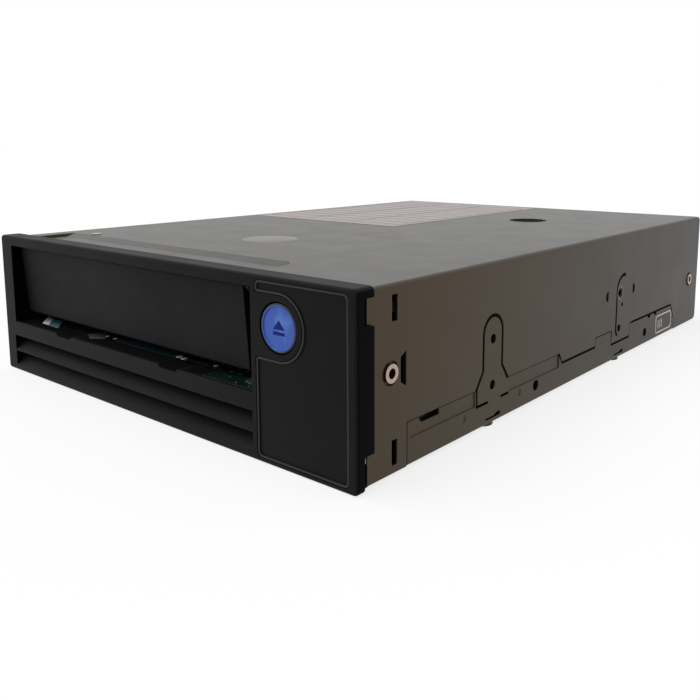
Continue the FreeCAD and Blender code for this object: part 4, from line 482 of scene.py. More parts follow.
@dataclass(frozen=True)
class Turned(Finish):
    """Metal cut on a lathe or ground: fine rings about the upright axis that draw the highlight out.

    Attributes:
        pitch: distance between tool marks in millimetres.
        depth: their depth in millimetres.
    """

    pitch: float = 0.25
    depth: float = 0.003

    def relief(self, tree: Tree, place: Socket) -> Relief:
        """Tool marks, stacked along the height."""
        marks = self.uneven(tree, place, self.pitch, 1.0, (60.0, 60.0, 1.0))
        return [(marks.outputs[0], self.depth)]


@dataclass(frozen=True)
class Cast(Finish):
    """Die-cast light alloy: a dull skin with small pits and flow marks.

    Attributes:
        pit: width of a pit in millimetres.
        depth: its depth in millimetres.
    """

    pit: float = 0.7
    depth: float = 0.03

    def relief(self, tree: Tree, place: Socket) -> Relief:
        """Pits and flow marks."""
        pits = self.uneven(tree, place, self.pit, 5.0)
        return [(pits.outputs[0], self.depth)]


@dataclass(frozen=True)
class Laminate(Finish):
    """Glass-epoxy circuit laminate under green solder mask, with copper tracks that lift the mask.

    Attributes:
        track: colour of the mask over copper.
        pitch: distance between tracks in millimetres.
        copper: how far copper lifts the mask, in millimetres.
    """

    track: str = "#1f6a45"
    pitch: float = 1.3
    copper: float = 0.03

    def tracks(self, tree: Tree, place: Socket) -> Node:
        """Right-angled cells whose borders read as tracks: 1 over copper, with a short ramp.

        Args:
            tree: the tree that gets the nodes.
            place: the coordinates that the pattern follows.

        Returns:
            The node that gives the share of copper.
        """
        cells = add_node(tree, "ShaderNodeTexVoronoi",
                         {"feature": "F1", "distance": "CHEBYCHEV", "voronoi_dimensions": "3D"},
                         vector=place, scale=1 / (self.pitch * 2.4 * MM), randomness=0.85)
        bands = add_node(tree, "ShaderNodeMath", {"operation": "MULTIPLY"}, at_0=cells.outputs[0], at_1=4.0)
        band = add_node(tree, "ShaderNodeMath", {"operation": "FRACT"}, at_0=bands)
        return add_node(tree, "ShaderNodeMapRange", value=band, from_min=0.4, from_max=0.6)

    def colour_in(self, tree: Tree, place: Socket, shader: Node) -> None:
        """Lighter mask over the copper."""
        self.recolour(tree, shader, self.tracks(tree, place), linear(self.track), linear(self.colour))

    def relief(self, tree: Tree, place: Socket) -> Relief:
        """The copper's own thickness."""
        return [(self.tracks(tree, place).outputs[0], self.copper)]


# Black ABS with a fine eroded grain: its highlights stay broad and dim, and its walls that face sideways get
# a painted shade that turns them black.
BEZEL_ABS = Moulded("abs_black_eroded", "#0d0d10", 0.56, specular=0.12, edge=0.3, wall="#060505")
# The same polymer from a coarser tool: a shade greyer and duller than the bezel.
DOOR_ABS = Moulded("abs_black_door_eroded", "#121215", 0.6, specular=0.13, edge=0.25, grain=0.4)
# A smoother polycarbonate blend: as black as the bezel, with a soft sheen.
PANEL_PC = Moulded("polycarbonate_black_satin", "#0d0d0e", 0.5, specular=0.1, edge=0.15, grain=0.25,
                   depth=0.005)
# A polished cap: clear blue, with a painted highlight in soft pale streaks and painted shade on its turned-in
# rim.
BUTTON_ABS = MouldedCap("abs_blue_polished", "#3d6ad4", 0.38, edge=0.2, grain=0.5, depth=0.003, mottle=0.03,
                        centre=BUTTON.middle)
# Pad-printed ink: flat navy without a highlight of its own.
SYMBOL_INK = Moulded("pad_print_navy", "#152c86", 0.6, specular=0.2, grain=0.3, depth=0.004)
# Moulded polyester: an even black with a faint sheen.
BLACK_PBT = Moulded("pbt_black_moulded", "#1d1d1f", 0.5, specular=0.4, edge=0.15)
# Unfilled acetal: a waxy off-white.
ACETAL = Moulded("acetal_natural_moulded", "#d9d6cc", 0.42, edge=0.1, grain=0.6, depth=0.004)
# Moulded epoxy: a matt grey-black.
BLACK_RESIN = Moulded("epoxy_resin_black_moulded", "#191a1b", 0.62, specular=0.35, grain=0.2, depth=0.006)
# Lapped ceramic: dark, with a sharp reflection.
CERAMIC = Moulded("ceramic_dark_lapped", "#3a3835", 0.18, grain=0.3, depth=0.001)
# Dark passivated zinc on steel: brown-grey face on, pale when seen along its surface, with painted shade
# towards the rear and a painted reflection in neutral grey on its level faces.
CASE_STEEL = RolledSheet("steel_zinc_dark_passivated", "#483e31", 0.40, metallic=0.9, edge=0.3, far="#2f2c28")
# The same coat on the tray, a touch duller, with the same painted shade and painted reflection.
TRAY_STEEL = RolledSheet("steel_zinc_dark_passivated_tray", "#483e31", 0.42, metallic=0.9, edge=0.25,
                         far="#2f2c28")
# A greyer batch of that coat, even from side to side.
REAR_STEEL = RolledSheet("steel_zinc_dark_passivated_rear", "#56514b", 0.42, metallic=0.9, edge=0.25)
# Tinned sheet: bright, with faint rolling streaks.
BRIGHT_SHEET = RolledSheet("steel_tinned_bright_rolled", "#b9b9b6", 0.30, metallic=1.0, edge=0.15)
# Drawn wire: grey, with a bright line along each turn.
SPRING_STEEL = Turned("spring_steel_drawn", "#a5a29c", 0.3, metallic=1.0)
# Ground shafts and rollers: bright, with a narrow highlight.
GROUND_STEEL = Turned("steel_ground", "#b5b4b0", 0.22, metallic=1.0)
# Nickel on headed steel: a warm pale shine.
PLATED_SCREW = Turned("steel_nickel_plated_headed", "#b09c8a", 0.34, metallic=1.0, edge=0.12)
# A drawn can: soft grey reflections.
MOTOR_CAN = Turned("steel_drawn_can", "#8f8d89", 0.34, metallic=1.0)
# Turned aluminium: pale, with fine rings that draw the highlight out.
REEL_ALLOY = Turned("aluminium_turned", "#c2c3c5", 0.28, metallic=1.0)
# Die-cast alloy: a dull grey skin with small pits.
DECK_ALLOY = Cast("aluminium_die_cast", "#8e8f90", 0.5, metallic=0.9)
# Hobbed brass: yellow, with a bright edge on each tooth.
BRASS = Turned("brass_hobbed", "#c5a04a", 0.28, metallic=1.0)
# Solder mask over laminate: a dark glossy green with lighter tracks.
BOARD = Laminate("laminate_green_solder_mask", "#0f3d2a", 0.32)
# Tin plate on a folded shield: pale and nearly mirror bright.
SHIELD = RolledSheet("steel_tin_plated_shield", "#b4b4b0", 0.28, metallic=1.0, edge=0.1)
# Tinted clear epoxy: pale green and glossy.
LAMP_RESIN = Moulded("epoxy_lamp_clear_green", "#9fc98f", 0.2, grain=0.3, depth=0.002)
# Matt coated polyester: a warm light grey without shine.
LABEL_STOCK = Moulded("polyester_label_matt_white", "#afa8a6", 0.6, grain=0.2, depth=0.002, mottle=0.03)
# The door's hidden spring is blackened, so that it doesn't glint through the gap.
SPRING_BLACK = Turned("spring_steel_phosphated", "#1b1b1c", 0.6, metallic=0.5)
# A glossier bead of the panel's polymer, polished in the tool, so that its crest catches the light; its
# colour is lighter than the panel's, a painted highlight along the bead.
RIM_PC = Moulded("polycarbonate_rim_polished", "#1c1b1b", 0.4, specular=0.35, grain=0.3, depth=0.002)
# Painted shade: nearly black and matt, laid on the sill and in seams, slits, sockets and a hole, where shade
# falls.
PAINTED_SHADE_BLACK = Moulded("urethane_foam_black_cut", "#08080a", 0.95, specular=0.05, grain=0.5, depth=0.05)
# Coated tape: clean white with a light gloss.
WHITE_TAPE = Moulded("polyester_tape_white_coated", "#f2f2f4", 0.4, grain=0.3, depth=0.003)
# A paler ring of the case's coat round a fixing.
RING_STEEL = RolledSheet("steel_zinc_rubbed_bright", "#8f867a", 0.4, metallic=0.6, edge=0.1)
# Dyed nylon: a muted teal.
TEAL_NYLON = Moulded("nylon_teal_moulded", "#557f86", 0.4, grain=0.3, depth=0.004)
# Matt tin plate: grey and dull beside the bright shield.
SOLDER_DULL = Turned("tin_plated_steel_matt", "#7e8582", 0.45, metallic=0.9, edge=0.1)
# The case's coat where the press rubbed it: lighter and smoother.
CASE_POLISHED = RolledSheet("steel_zinc_dark_passivated_pressed", "#5d564d", 0.34, metallic=0.9, edge=0.2)
# Gold flash on copper alloy: warm glints inside the dark connectors.
GOLD = Turned("copper_alloy_gold_flashed", "#c9a45a", 0.28, metallic=1.0)
# Embossed clear polyester: milky edges that catch the light.
CLEAR_RIM = Moulded("polyester_clear_embossed", "#f0ebe4", 0.3, grain=0.3, depth=0.002)
# Printed rules: mid grey, as matt as the label under them.
LABEL_INK = Moulded("label_ink_grey_printed", "#857779", 0.6, grain=0.2, depth=0.001)
# Polyimide film over a flex: dark teal with a flat sheen.
COVERLAY = Moulded("polyimide_coverlay_dark_teal", "#1a2d33", 0.45, grain=0.3, depth=0.002)
# A small board under dark mask: nearly black green with faint tracks.
SENSOR_BOARD = Laminate("laminate_dark_green_solder_mask", "#05130d", 0.35, track="#0d2a1e", pitch=0.8)


# What each CAD node is made of.
MADE_OF = (
    (BEZEL_ABS, "bezel"),
    (DOOR_ABS, "cartridge_door"),
    (PANEL_PC, "status_panel"),
    (BUTTON_ABS, "eject_button"),
    (BLACK_PBT, "eject_switch", "fan_frame", "fan_rotor", "host_connector", "library_port"),
    (ACETAL, "reduction_gear"),
    (BLACK_RESIN, "board_chips"),
    (CERAMIC, "head_block"),
    (CASE_STEEL, "top_cover"),
    (TRAY_STEEL, "base_tray"),
    (REAR_STEEL, "rear_panel"),
    (BRIGHT_SHEET, "loader_carriage", "cartridge_tray", "cam_plate_left", "cam_plate_right",
     "loader_rail_left", "loader_rail_right", "head_bracket"),
    (SPRING_STEEL, "button_spring"),
    (SPRING_BLACK, "door_spring", "door_hinge_pin"),
    (GROUND_STEEL, "gear_shaft", "head_guide_rods", "head_lead_screw",
     "guide_roller_1", "guide_roller_2", "guide_roller_3", "guide_roller_4"),
    (PLATED_SCREW, "side_screws", "deck_screws", "top_rivet"),
    (MOTOR_CAN, "loader_motor", "head_stepper", "supply_motor_stator", "takeup_motor_stator"),
    (REEL_ALLOY, "takeup_reel", "supply_reel_chuck"),
    (DECK_ALLOY, "deck_plate", "tape_path_base", "head_carriage"),
    (BRASS, "motor_pinion"),
    (BOARD, "main_logic_board", "supply_motor_board", "front_panel_board"),
    (SHIELD, "ethernet_jack"),
    (LAMP_RESIN, "status_lamps"),
    (LABEL_STOCK, "blank_label"),
)


def dress(finish: Finish, *nodes: str) -> None:
    """Give CAD nodes their finish.

    Args:
        finish: what they are made of.
        *nodes: the nodes' names.
    """
    for name in nodes:
        mesh = frame["nodes"][name].data
        mesh.materials.clear()
        mesh.materials.append(finish.material())


# ---- Making pieces ----


class Body(str, Enum):
    """The moving bodies that dressing pieces ride on."""

    CHASSIS = "chassis"
    BUTTON = "button"


class Way(str, Enum):
    """The direction that a shape is pulled along, or stands up in."""

    ACROSS = "x"
    DEEP = "y"
    UP = "z"


class Slot(str, Enum):
    """Material slots of the record, named for the dressing pieces but not given to them."""

    BEZEL = "bezel_plastic"
    PANEL = "panel_plastic"
    BUTTON = "button_plastic"
    BLACK = "black_plastic"
    SCREW = "screw_steel"
    COVER = "cover_steel"
    BOARD = "circuit_board"
    CHIP = "chip_resin"
    SHIELD = "connector_shield"
    LABEL = "label_paper"
    LENS = "lamp_lens"


def at(x: float, y: float, z: float) -> Vector:
    """A point in the frame, from millimetres with Y counted from the bezel's front face."""
    return Vector((x * MM, y * MM + CAD_BOX[0][1], z * MM))


def standing(way: Way, across: float, along: float, level: float) -> Vector:
    """A point of a flat outline that stands at a level along the way."""
    return at(*{Way.UP: (across, along, level), Way.DEEP: (across, level, along),
                Way.ACROSS: (level, across, along)}[way])


@dataclass
class Assembly:
    """A group of dressing pieces that ride on one body.

    Attributes:
        body: the body they ride on.
        pieces: the pieces made so far.
    """

    body: Body = Body.CHASSIS
    pieces: list[bpy.types.Object] = field(default_factory=list)

    def piece(self, name: str, shape: Shape | Mesh, finish: Finish, slot: Slot, smooth: bool = True) -> None:
        """Turn a shape into a piece that rides on this assembly's body.

        Args:
            name: the piece's name.
            shape: its bmesh or its mesh, in the frame's own coordinates.
            finish: its finish.
            slot: the record's material slot, which is not used.
            smooth: whether soft edges are shaded round.
        """
        mesh = settled(shape) if isinstance(shape, Shape) else shape
        mesh.name = name
        mesh.materials.clear()
        mesh.materials.append(finish.material())
        if smooth:
            mesh.shade_smooth()
            mesh.set_sharp_from_angle(angle=SMOOTH_ANGLE)
        made = bpy.data.objects.new(name, mesh)
        bpy.context.scene.collection.objects.link(made)
        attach(made, self.body.value)
        self.pieces.append(made)


def settled(build: Shape) -> Mesh:
    """A mesh from a bmesh, with its normals outward.

    Args:
        build: the shape, which is freed.

    Returns:
        The mesh.
    """
    bmesh.ops.recalc_face_normals(build, faces=build.faces)
    mesh = bpy.data.meshes.new("mesh")
    build.to_mesh(mesh)
    build.free()
    return mesh


def prism(outline: Outline, low: float, high: float, way: Way = Way.UP, chamfer: float = 0.0) -> Shape:
    """A solid between two copies of an outline, all in millimetres.

    Args:
        outline: corners in the plane square to the way: X and Y, X and Z, or Y and Z.
        low: where it starts along the way.
        high: where it ends.
        way: the direction from one outline to the other.
        chamfer: width of the cut along its sharp edges.

    Returns:
        The shape.
    """
    build = bmesh.new()
    rings = [[build.verts.new(standing(way, a, b, level)) for a, b in outline] for level in (low, high)]
    count = len(outline)
    build.faces.new(rings[0])
    build.faces.new(rings[1][::-1])
    for k in range(count):
        after = (k + 1) % count
        build.faces.new((rings[0][k], rings[0][after], rings[1][after], rings[1][k]))
    bmesh.ops.recalc_face_normals(build, faces=build.faces)
    if chamfer:
        sharp = [e for e in build.edges if len(e.link_faces) == 2 and e.calc_face_angle(0) > SHARP_ANGLE]
        bmesh.ops.bevel(build, geom=sharp, offset=chamfer * MM, segments=1, profile=0.5, affect="EDGES",
                        clamp_overlap=True)
    return build


def spun(profile: Outline, centre: Sequence[float], steps: int = 64) -> Shape:
    """A solid turned about an upright axis.

    Args:
        profile: radius and height pairs in millimetres, from the axis back to the axis.
        centre: the foot of the axis, in millimetres.
        steps: how many steps make a turn.

    Returns:
        The shape.
    """
    build = bmesh.new()
    rings = []
    for radius, height in profile:
        ring = []
        for k in range(steps if radius else 1):
            angle = 2 * math.pi * k / steps
            spot = Vector((radius * math.cos(angle), radius * math.sin(angle), height))
            ring.append(build.verts.new(at(*centre) + spot * MM))
        rings.append(ring)
    for one, two in zip(rings, rings[1:]):
        for k in range(steps):
            after = (k + 1) % steps
            corners = [one[k % len(one)], one[after % len(one)], two[after % len(two)], two[k % len(two)]]
            corners = [c for n, c in enumerate(corners) if c not in corners[:n]]
            if len(corners) > 2:
                build.faces.new(corners)
    bmesh.ops.recalc_face_normals(build, faces=build.faces)
    return build


def merged(*parts: Shape) -> Shape:
    """Several shapes in one.

    Args:
        *parts: the shapes, which are freed.

    Returns:
        The joined shape.
    """
    whole = bmesh.new()
    for part in parts:
        mesh = bpy.data.meshes.new("part")
        part.to_mesh(mesh)
        part.free()
        whole.from_mesh(mesh)
        bpy.data.meshes.remove(mesh)
    return whole


def arc_points(x: float, y: float, radius: float, first: float, last: float, steps: int) -> Points:
    """Points along an arc, between two angles in degrees."""
    turns = [math.radians(first + (last - first) * k / steps) for k in range(steps + 1)]
    return [(x + radius * math.cos(a), y + radius * math.sin(a)) for a in turns]


def box(left: float, right: float, low: float, high: float) -> Points:
    """A rectangle's corners."""
    return [(left, low), (right, low), (right, high), (left, high)]


def rounded(left: float, right: float, low: float, high: float, radius: float, steps: int) -> Points:
    """A rectangle with round corners.

    Args:
        left: its lowest first coordinate.
        right: its highest first coordinate.
        low: its lowest second coordinate.
        high: its highest second coordinate.
        radius: radius of its corners.
        steps: segments across a corner.

    Returns:
        Its corners' points, in order.
    """
    return (arc_points(right - radius, high - radius, radius, 0, 90, steps)
            + arc_points(left + radius, high - radius, radius, 90, 180, steps)
            + arc_points(left + radius, low + radius, radius, 180, 270, steps)
            + arc_points(right - radius, low + radius, radius, 270, 360, steps))


def bead(path: Outline, width: float, foot: float, crest: float,
         way: Way = Way.DEEP, closed: bool = True, steps: int = 5) -> Shape:
    """A half-round bead laid along a flat path.

    Args:
        path: its middle line, in millimetres.
        width: the bead's width.
        foot: where it stands, along the way.
        crest: where its top is.
        way: the direction it stands up in: deep on a front face, across on a side face.
        closed: whether the path closes.
        steps: segments across the bead.

    Returns:
        The shape.
    """
    build = bmesh.new()
    count = len(path)
    rings = []
    for k, (a, b) in enumerate(path):
        before = path[k - 1] if closed or k else path[k]
        after = path[(k + 1) % count] if closed or k < count - 1 else path[k]
        along = Vector((after[0] - before[0], after[1] - before[1])).normalized()
        side = Vector((-along.y, along.x))
        ring = []
        for s in range(steps + 1):
            turn = math.pi * s / steps
            off = side * (math.cos(turn) * width / 2)
            level = foot + (crest - foot) * math.sin(turn)
            ring.append(build.verts.new(standing(way, a + off.x, b + off.y, level)))
        rings.append(ring)
    spans = range(count if closed else count - 1)
    for k in spans:
        one, two = rings[k], rings[(k + 1) % count]
        for s in range(steps + 1):
            t = (s + 1) % (steps + 1)
            build.faces.new((one[s], two[s], two[t], one[t]))
    if not closed:
        build.faces.new(rings[0])
        build.faces.new(rings[-1][::-1])
    bmesh.ops.recalc_face_normals(build, faces=build.faces)
    return build


# ---- Geometry Nodes for what repeats ----


def array_tree() -> Tree:
    """A tree that lays copies of a prototype out in rows and columns, and may leave some out.

    Its inputs are Prototype, Start, Step A, Count A, Step B, Count B, Keep, Seed and Material.

    Returns:
        The tree.
    """
    known = bpy.data.node_groups.get("array_of_parts")
    if known:
        return known
    tree = bpy.data.node_groups.new("array_of_parts", "GeometryNodeTree")
    face = tree.interface
    face.new_socket("Geometry", in_out="INPUT", socket_type="NodeSocketGeometry")
    for label, kind, value in (
        ("Prototype", "Object", None), ("Start", "Vector", (0, 0, 0)), ("Step A", "Vector", (0, 0, 0)),
        ("Count A", "Int", 1), ("Step B", "Vector", (0, 0, 0)), ("Count B", "Int", 1),
        ("Keep", "Float", 1.0), ("Seed", "Int", 3), ("Material", "Material", None),
    ):
        socket = face.new_socket(label, in_out="INPUT", socket_type=f"NodeSocket{kind}")
        if value is not None:
            socket.default_value = value
    face.new_socket("Geometry", in_out="OUTPUT", socket_type="NodeSocketGeometry")
    given = tree.nodes.new("NodeGroupInput").outputs
    row = add_node(tree, "GeometryNodeMeshLine", {"mode": "OFFSET"}, count=given["Count A"],
                   start_location=given["Start"], offset=given["Step A"])
    column = add_node(tree, "GeometryNodeMeshLine", {"mode": "OFFSET"}, count=given["Count B"],
                      offset=given["Step B"])
    grid = add_node(tree, "GeometryNodeInstanceOnPoints", points=row, instance=column)
    spots = add_node(tree, "GeometryNodeRealizeInstances", geometry=grid)
    chance = add_node(tree, "FunctionNodeRandomValue", {"data_type": "FLOAT"}, seed=given["Seed"])
    kept = add_node(tree, "FunctionNodeCompare", {"data_type": "FLOAT", "operation": "LESS_EQUAL"},
                    at_0=chance.outputs[1], at_1=given["Keep"])
    shape = add_node(tree, "GeometryNodeObjectInfo", {"transform_space": "ORIGINAL"},
                     object=given["Prototype"])
    copies = add_node(tree, "GeometryNodeInstanceOnPoints", points=spots, selection=kept,
                      instance=shape.outputs["Geometry"])
    solid = add_node(tree, "GeometryNodeRealizeInstances", geometry=copies)
    painted = add_node(tree, "GeometryNodeSetMaterial", geometry=solid, material=given["Material"])
    out = tree.nodes.new("NodeGroupOutput")
    tree.links.new(painted.outputs[0], out.inputs[0])
    return tree


def arrayed(prototype: Shape, finish: Finish, start: Vector, step: tuple[float, float], count: int,
            row_step: tuple[float, float] = (0, 0), rows: int = 1, keep: float = 1.0, seed: int = 3) -> Mesh:
    """The array tree's result as a mesh.

    Args:
        prototype: one copy, drawn round 0, 0, 0.
        finish: its finish.
        start: where the first copy goes, in metres.
        step: from one copy to the next in a row, in millimetres along X and Y.
        count: copies in a row.
        row_step: from one row to the next.
        rows: how many rows there are.
        keep: the share of copies kept.
        seed: seed of that choice.

    Returns:
        The mesh of all copies.
    """
    bmesh.ops.translate(prototype, verts=prototype.verts, vec=-at(0, 0, 0))
    model = bpy.data.objects.new("prototype", settled(prototype))
    holder = bpy.data.objects.new("holder", bpy.data.meshes.new("holder"))
    scene = bpy.context.scene
    scene.collection.objects.link(model)
    scene.collection.objects.link(holder)
    tree = array_tree()
    change = holder.modifiers.new("array", "NODES")
    change.node_group = tree
    step_a, step_b = ((x * MM, y * MM, 0.0) for x, y in (step, row_step))
    values = {"Prototype": model, "Start": tuple(start), "Step A": step_a, "Count A": count,
              "Step B": step_b, "Count B": rows, "Keep": keep, "Seed": seed, "Material": finish.material()}
    for item in tree.interface.items_tree:
        if item.in_out == "INPUT" and item.name in values:
            change[item.identifier] = values[item.name]
    view = bpy.context.evaluated_depsgraph_get()
    mesh = bpy.data.meshes.new_from_object(holder.evaluated_get(view))
    holder.modifiers.remove(change)
    for spare in (holder, model):
        data = spare.data
        bpy.data.objects.remove(spare)
        bpy.data.meshes.remove(data)
    return mesh


# ---- The front ----


@dataclass
class EjectMark(Assembly):
    """The eject sign printed on the button: a triangle over a bar.

    Attributes:
        width: the sign's width.
        dish: how far the dished face lies behind the button's rim.
        roof_foot: height of the triangle's foot over the button's middle.
        roof_tip: height of its tip.
        bar_foot: height of the bar's lower edge.
        bar_top: height of its upper edge.
    """

    body: Body = Body.BUTTON
    width: float = 3.6
    dish: float = 0.25
    roof_foot: float = -0.35
    roof_tip: float = 1.75
    bar_foot: float = -1.6
    bar_top: float = -0.85

    def build(self) -> None:
        """Print the sign."""
        x, z = BUTTON.middle
        face = BUTTON.front + self.dish
        left, right = x - self.width / 2, x + self.width / 2
        roof = [(left, z + self.roof_foot), (right, z + self.roof_foot), (x, z + self.roof_tip)]
        bar = box(left, right, z + self.bar_foot, z + self.bar_top)
        ink = merged(*(prism(shape, face - 0.02, face + 0.05, Way.DEEP) for shape in (roof, bar)))
        self.piece("eject_sign", ink, SYMBOL_INK, Slot.BUTTON, smooth=False)


@dataclass
class PanelBead(Assembly):
    """The raised rim of the status panel, which runs round the button as an arc.

    Attributes:
        inset: from the panel's edge to the bead's middle.
        width: the bead's width.
        foot: how deep it stands in the panel's face.
        rise: how far its crest stands above the face.
        corner: radius of the bead's middle line at the panel's corners.
        reach: radius of the arc round the button.
        turn: size of the short slant between the arc and the left side.
    """

    inset: float = 0.28
    width: float = 0.5
    foot: float = 0.04
    rise: float = 0.08
    corner: float = 1.1
    reach: float = 7.5
    turn: float = 0.4

    def outline(self, panel: Place) -> Points:
        """The bead's middle line on the panel's face.

        Args:
            panel: the panel's place.

        Returns:
            The points of the line, in order.
        """
        left, right = panel.left + self.inset, panel.right - self.inset
        low, high = panel.low + self.inset, panel.high - self.inset
        x, z = BUTTON.middle
        r, reach, turn = self.corner, self.reach, self.turn
        line = arc_points(right - r, low + r, r, 270, 360, 6) + arc_points(right - r, high - r, r, 0, 90, 6)
        line += arc_points(left + r, high - r, r, 90, 180, 6)
        line += [(left, z + reach + turn), (left + turn, z + reach)]
        line += arc_points(x, z, reach, 90, -90, 28)
        line += [(left + turn, z - reach), (left, z - reach - turn)]
        line += arc_points(left + r, low + r, r, 180, 270, 6)
        return line

    def build(self) -> None:
        """Lay the bead on the panel's rim, in the lighter colour that paints a highlight along it."""
        panel = Place.of_node("status_panel")
        shape = bead(self.outline(panel), self.width, panel.front + self.foot, panel.front - self.rise)
        self.piece("panel_rim_bead", shape, RIM_PC, Slot.PANEL)


@dataclass
class SlotHardware(Assembly):
    """What shows under the door: a black sheet of painted shade on the sill, a sensor flex and small plated
    parts lying on them.

    Flat outlines are given in X from the door's left end and Y from the bezel's front.

    Attributes:
        drop: how far the sill lies below the cartridge's mouth.
        shade_sheet: thickness of that black sheet of painted shade and of the flex.
        film: thickness of the film that lies over the black sheet.
        raised: how far the small parts stand above the sill.
    """

    drop: float = 0.3
    shade_sheet: float = 0.06
    film: float = 0.08
    raised: float = 0.16

    @property
    def sill(self) -> float:
        """The sill's upper face."""
        return MOUTH.low - self.drop

    def spot(self, x: float, y: float) -> Vector:
        """A point on the black sheet of painted shade."""
        return at(DOOR.left + x, BEZEL.front + y, self.sill + self.shade_sheet)

    def flat(self, outline: Outline, height: float) -> Shape:
        """A thin flat part lying on the sill, with its corners in X and Y."""
        corners = [(DOOR.left + x, BEZEL.front + y) for x, y in outline]
        return prism(corners, self.sill, self.sill + height, Way.UP, 0.02)

    def strip(self, left: float, right: float, front: float, rear: float) -> Shape:
        """A rectangle of the black sheet of painted shade."""
        return self.flat(box(left, right, front, rear), self.shade_sheet)

    def build(self) -> None:
        """Lay the painted shade on the sill, the flex and the parts, and paint shade in the two notches."""
        self.lay_sill_shade()
        self.lay_flex()
        self.lay_plated_parts()
        self.shade_notches()

    def lay_sill_shade(self) -> None:
        """Painted shade: three black strips in front of the bay and a wide one under the door."""
        spans = ((-0.7, 22.3), (33.3, 72.5), (83.5, 90.4))
        fronts = [self.strip(left, right, 1.1, 5.45) for left, right in spans]
        shade_sheet = merged(*fronts, self.strip(-0.5, 74.3, 5.55, 16.0))
        self.piece("sill_liner", shade_sheet, PAINTED_SHADE_BLACK, Slot.BEZEL)

    def lay_flex(self) -> None:
        """The flex with its chips and joints, and the film that runs on from it."""
        flex = [(90.5, 0.8), (109.3, 0.8), (109.3, 12.4), (74.5, 12.4), (74.5, 5.9), (90.5, 5.9)]
        self.piece("sensor_flex", self.flat(flex, self.shade_sheet), SENSOR_BOARD, Slot.BOARD)
        film = box(44.5, 74.4, 5.9, 12.4)
        self.piece("slot_film", self.flat(film, self.film), COVERLAY, Slot.BOARD)
        chip = prism(rounded(-0.9, 0.9, -0.5, 0.5, 0.12, 2), 0, 0.1, Way.UP, 0.02)
        chips = arrayed(chip, BLACK_RESIN, self.spot(77.5, 7.4), (3.3, 0), 9, (0, 2.6), 2, 0.6, 5)
        self.piece("sensor_flex_chips", chips, BLACK_RESIN, Slot.CHIP)
        pad = prism(rounded(-0.3, 0.3, -0.2, 0.2, 0.06, 2), 0, 0.06, Way.UP, 0.02)
        pads = arrayed(pad, SOLDER_DULL, self.spot(92.5, 2.2), (1.5, 0), 11, (0, 2.0), 2, 0.35, 11)
        self.piece("sensor_flex_joints", pads, SOLDER_DULL, Slot.SHIELD)

    def lay_plated_parts(self) -> None:
        """The strap, the ribbon, the leaf, the light guides and the fin."""
        # The strap's white is partly its own colour and partly a painted highlight, which keeps it bright in
        # the door's shade.
        strap = [(8.4, 3.7), (12.6, 3.6), (4.6, 9.3), (1.1, 9.3)]
        self.piece("ground_strap", self.flat(strap, self.raised), WHITE_TAPE, Slot.SHIELD)
        ribbon = [(13.3, 3.4), (18.4, 3.4), (10.7, 9.1), (5.5, 9.2)]
        self.piece("teal_ribbon", self.flat(ribbon, self.raised - 0.03), TEAL_NYLON, Slot.BLACK)
        leaf = [(32.3, 5.1), (37.1, 2.9), (40.6, 5.8), (34.1, 9.8)]
        self.piece("sensor_leaf", self.flat(leaf, self.raised - 0.04), SOLDER_DULL, Slot.SHIELD)
        guides = ((38.9, 7.4, 0.6), (43.1, 7.2, 0.6), (73.1, 7.2, 0.9), (75.4, 6.9, 0.9), (86.9, 8.1, 0.7))
        beads = [self.flat(arc_points(x, y, radius, 0, 324, 9), self.raised) for x, y, radius in guides]
        self.piece("light_guides", merged(*beads), WHITE_TAPE, Slot.LENS)
        fin = [(102.2, 4.3), (105.5, 3.2), (103.8, 6.4), (100.1, 9.6)]
        self.piece("ground_fin", self.flat(fin, self.raised), SOLDER_DULL, Slot.SHIELD)

    def shade_notches(self) -> None:
        """Painted shade: a black pad in each of the sill's two notches, wider at its top."""
        foot, top = self.sill - 0.78, self.sill - 0.08
        for name, offset in (("sill_pad_left", 27.8), ("sill_pad_right", 78.0)):
            x = DOOR.left + offset
            outline = [(x - 3.2, foot), (x + 3.2, foot), (x + 4.45, top), (x - 4.45, top)]
            pad = prism(outline, BEZEL.front + 0.15, BEZEL.front + 5.4, Way.DEEP, 0.06)
            self.piece(name, pad, PAINTED_SHADE_BLACK, Slot.BEZEL)


# ---- The case ----


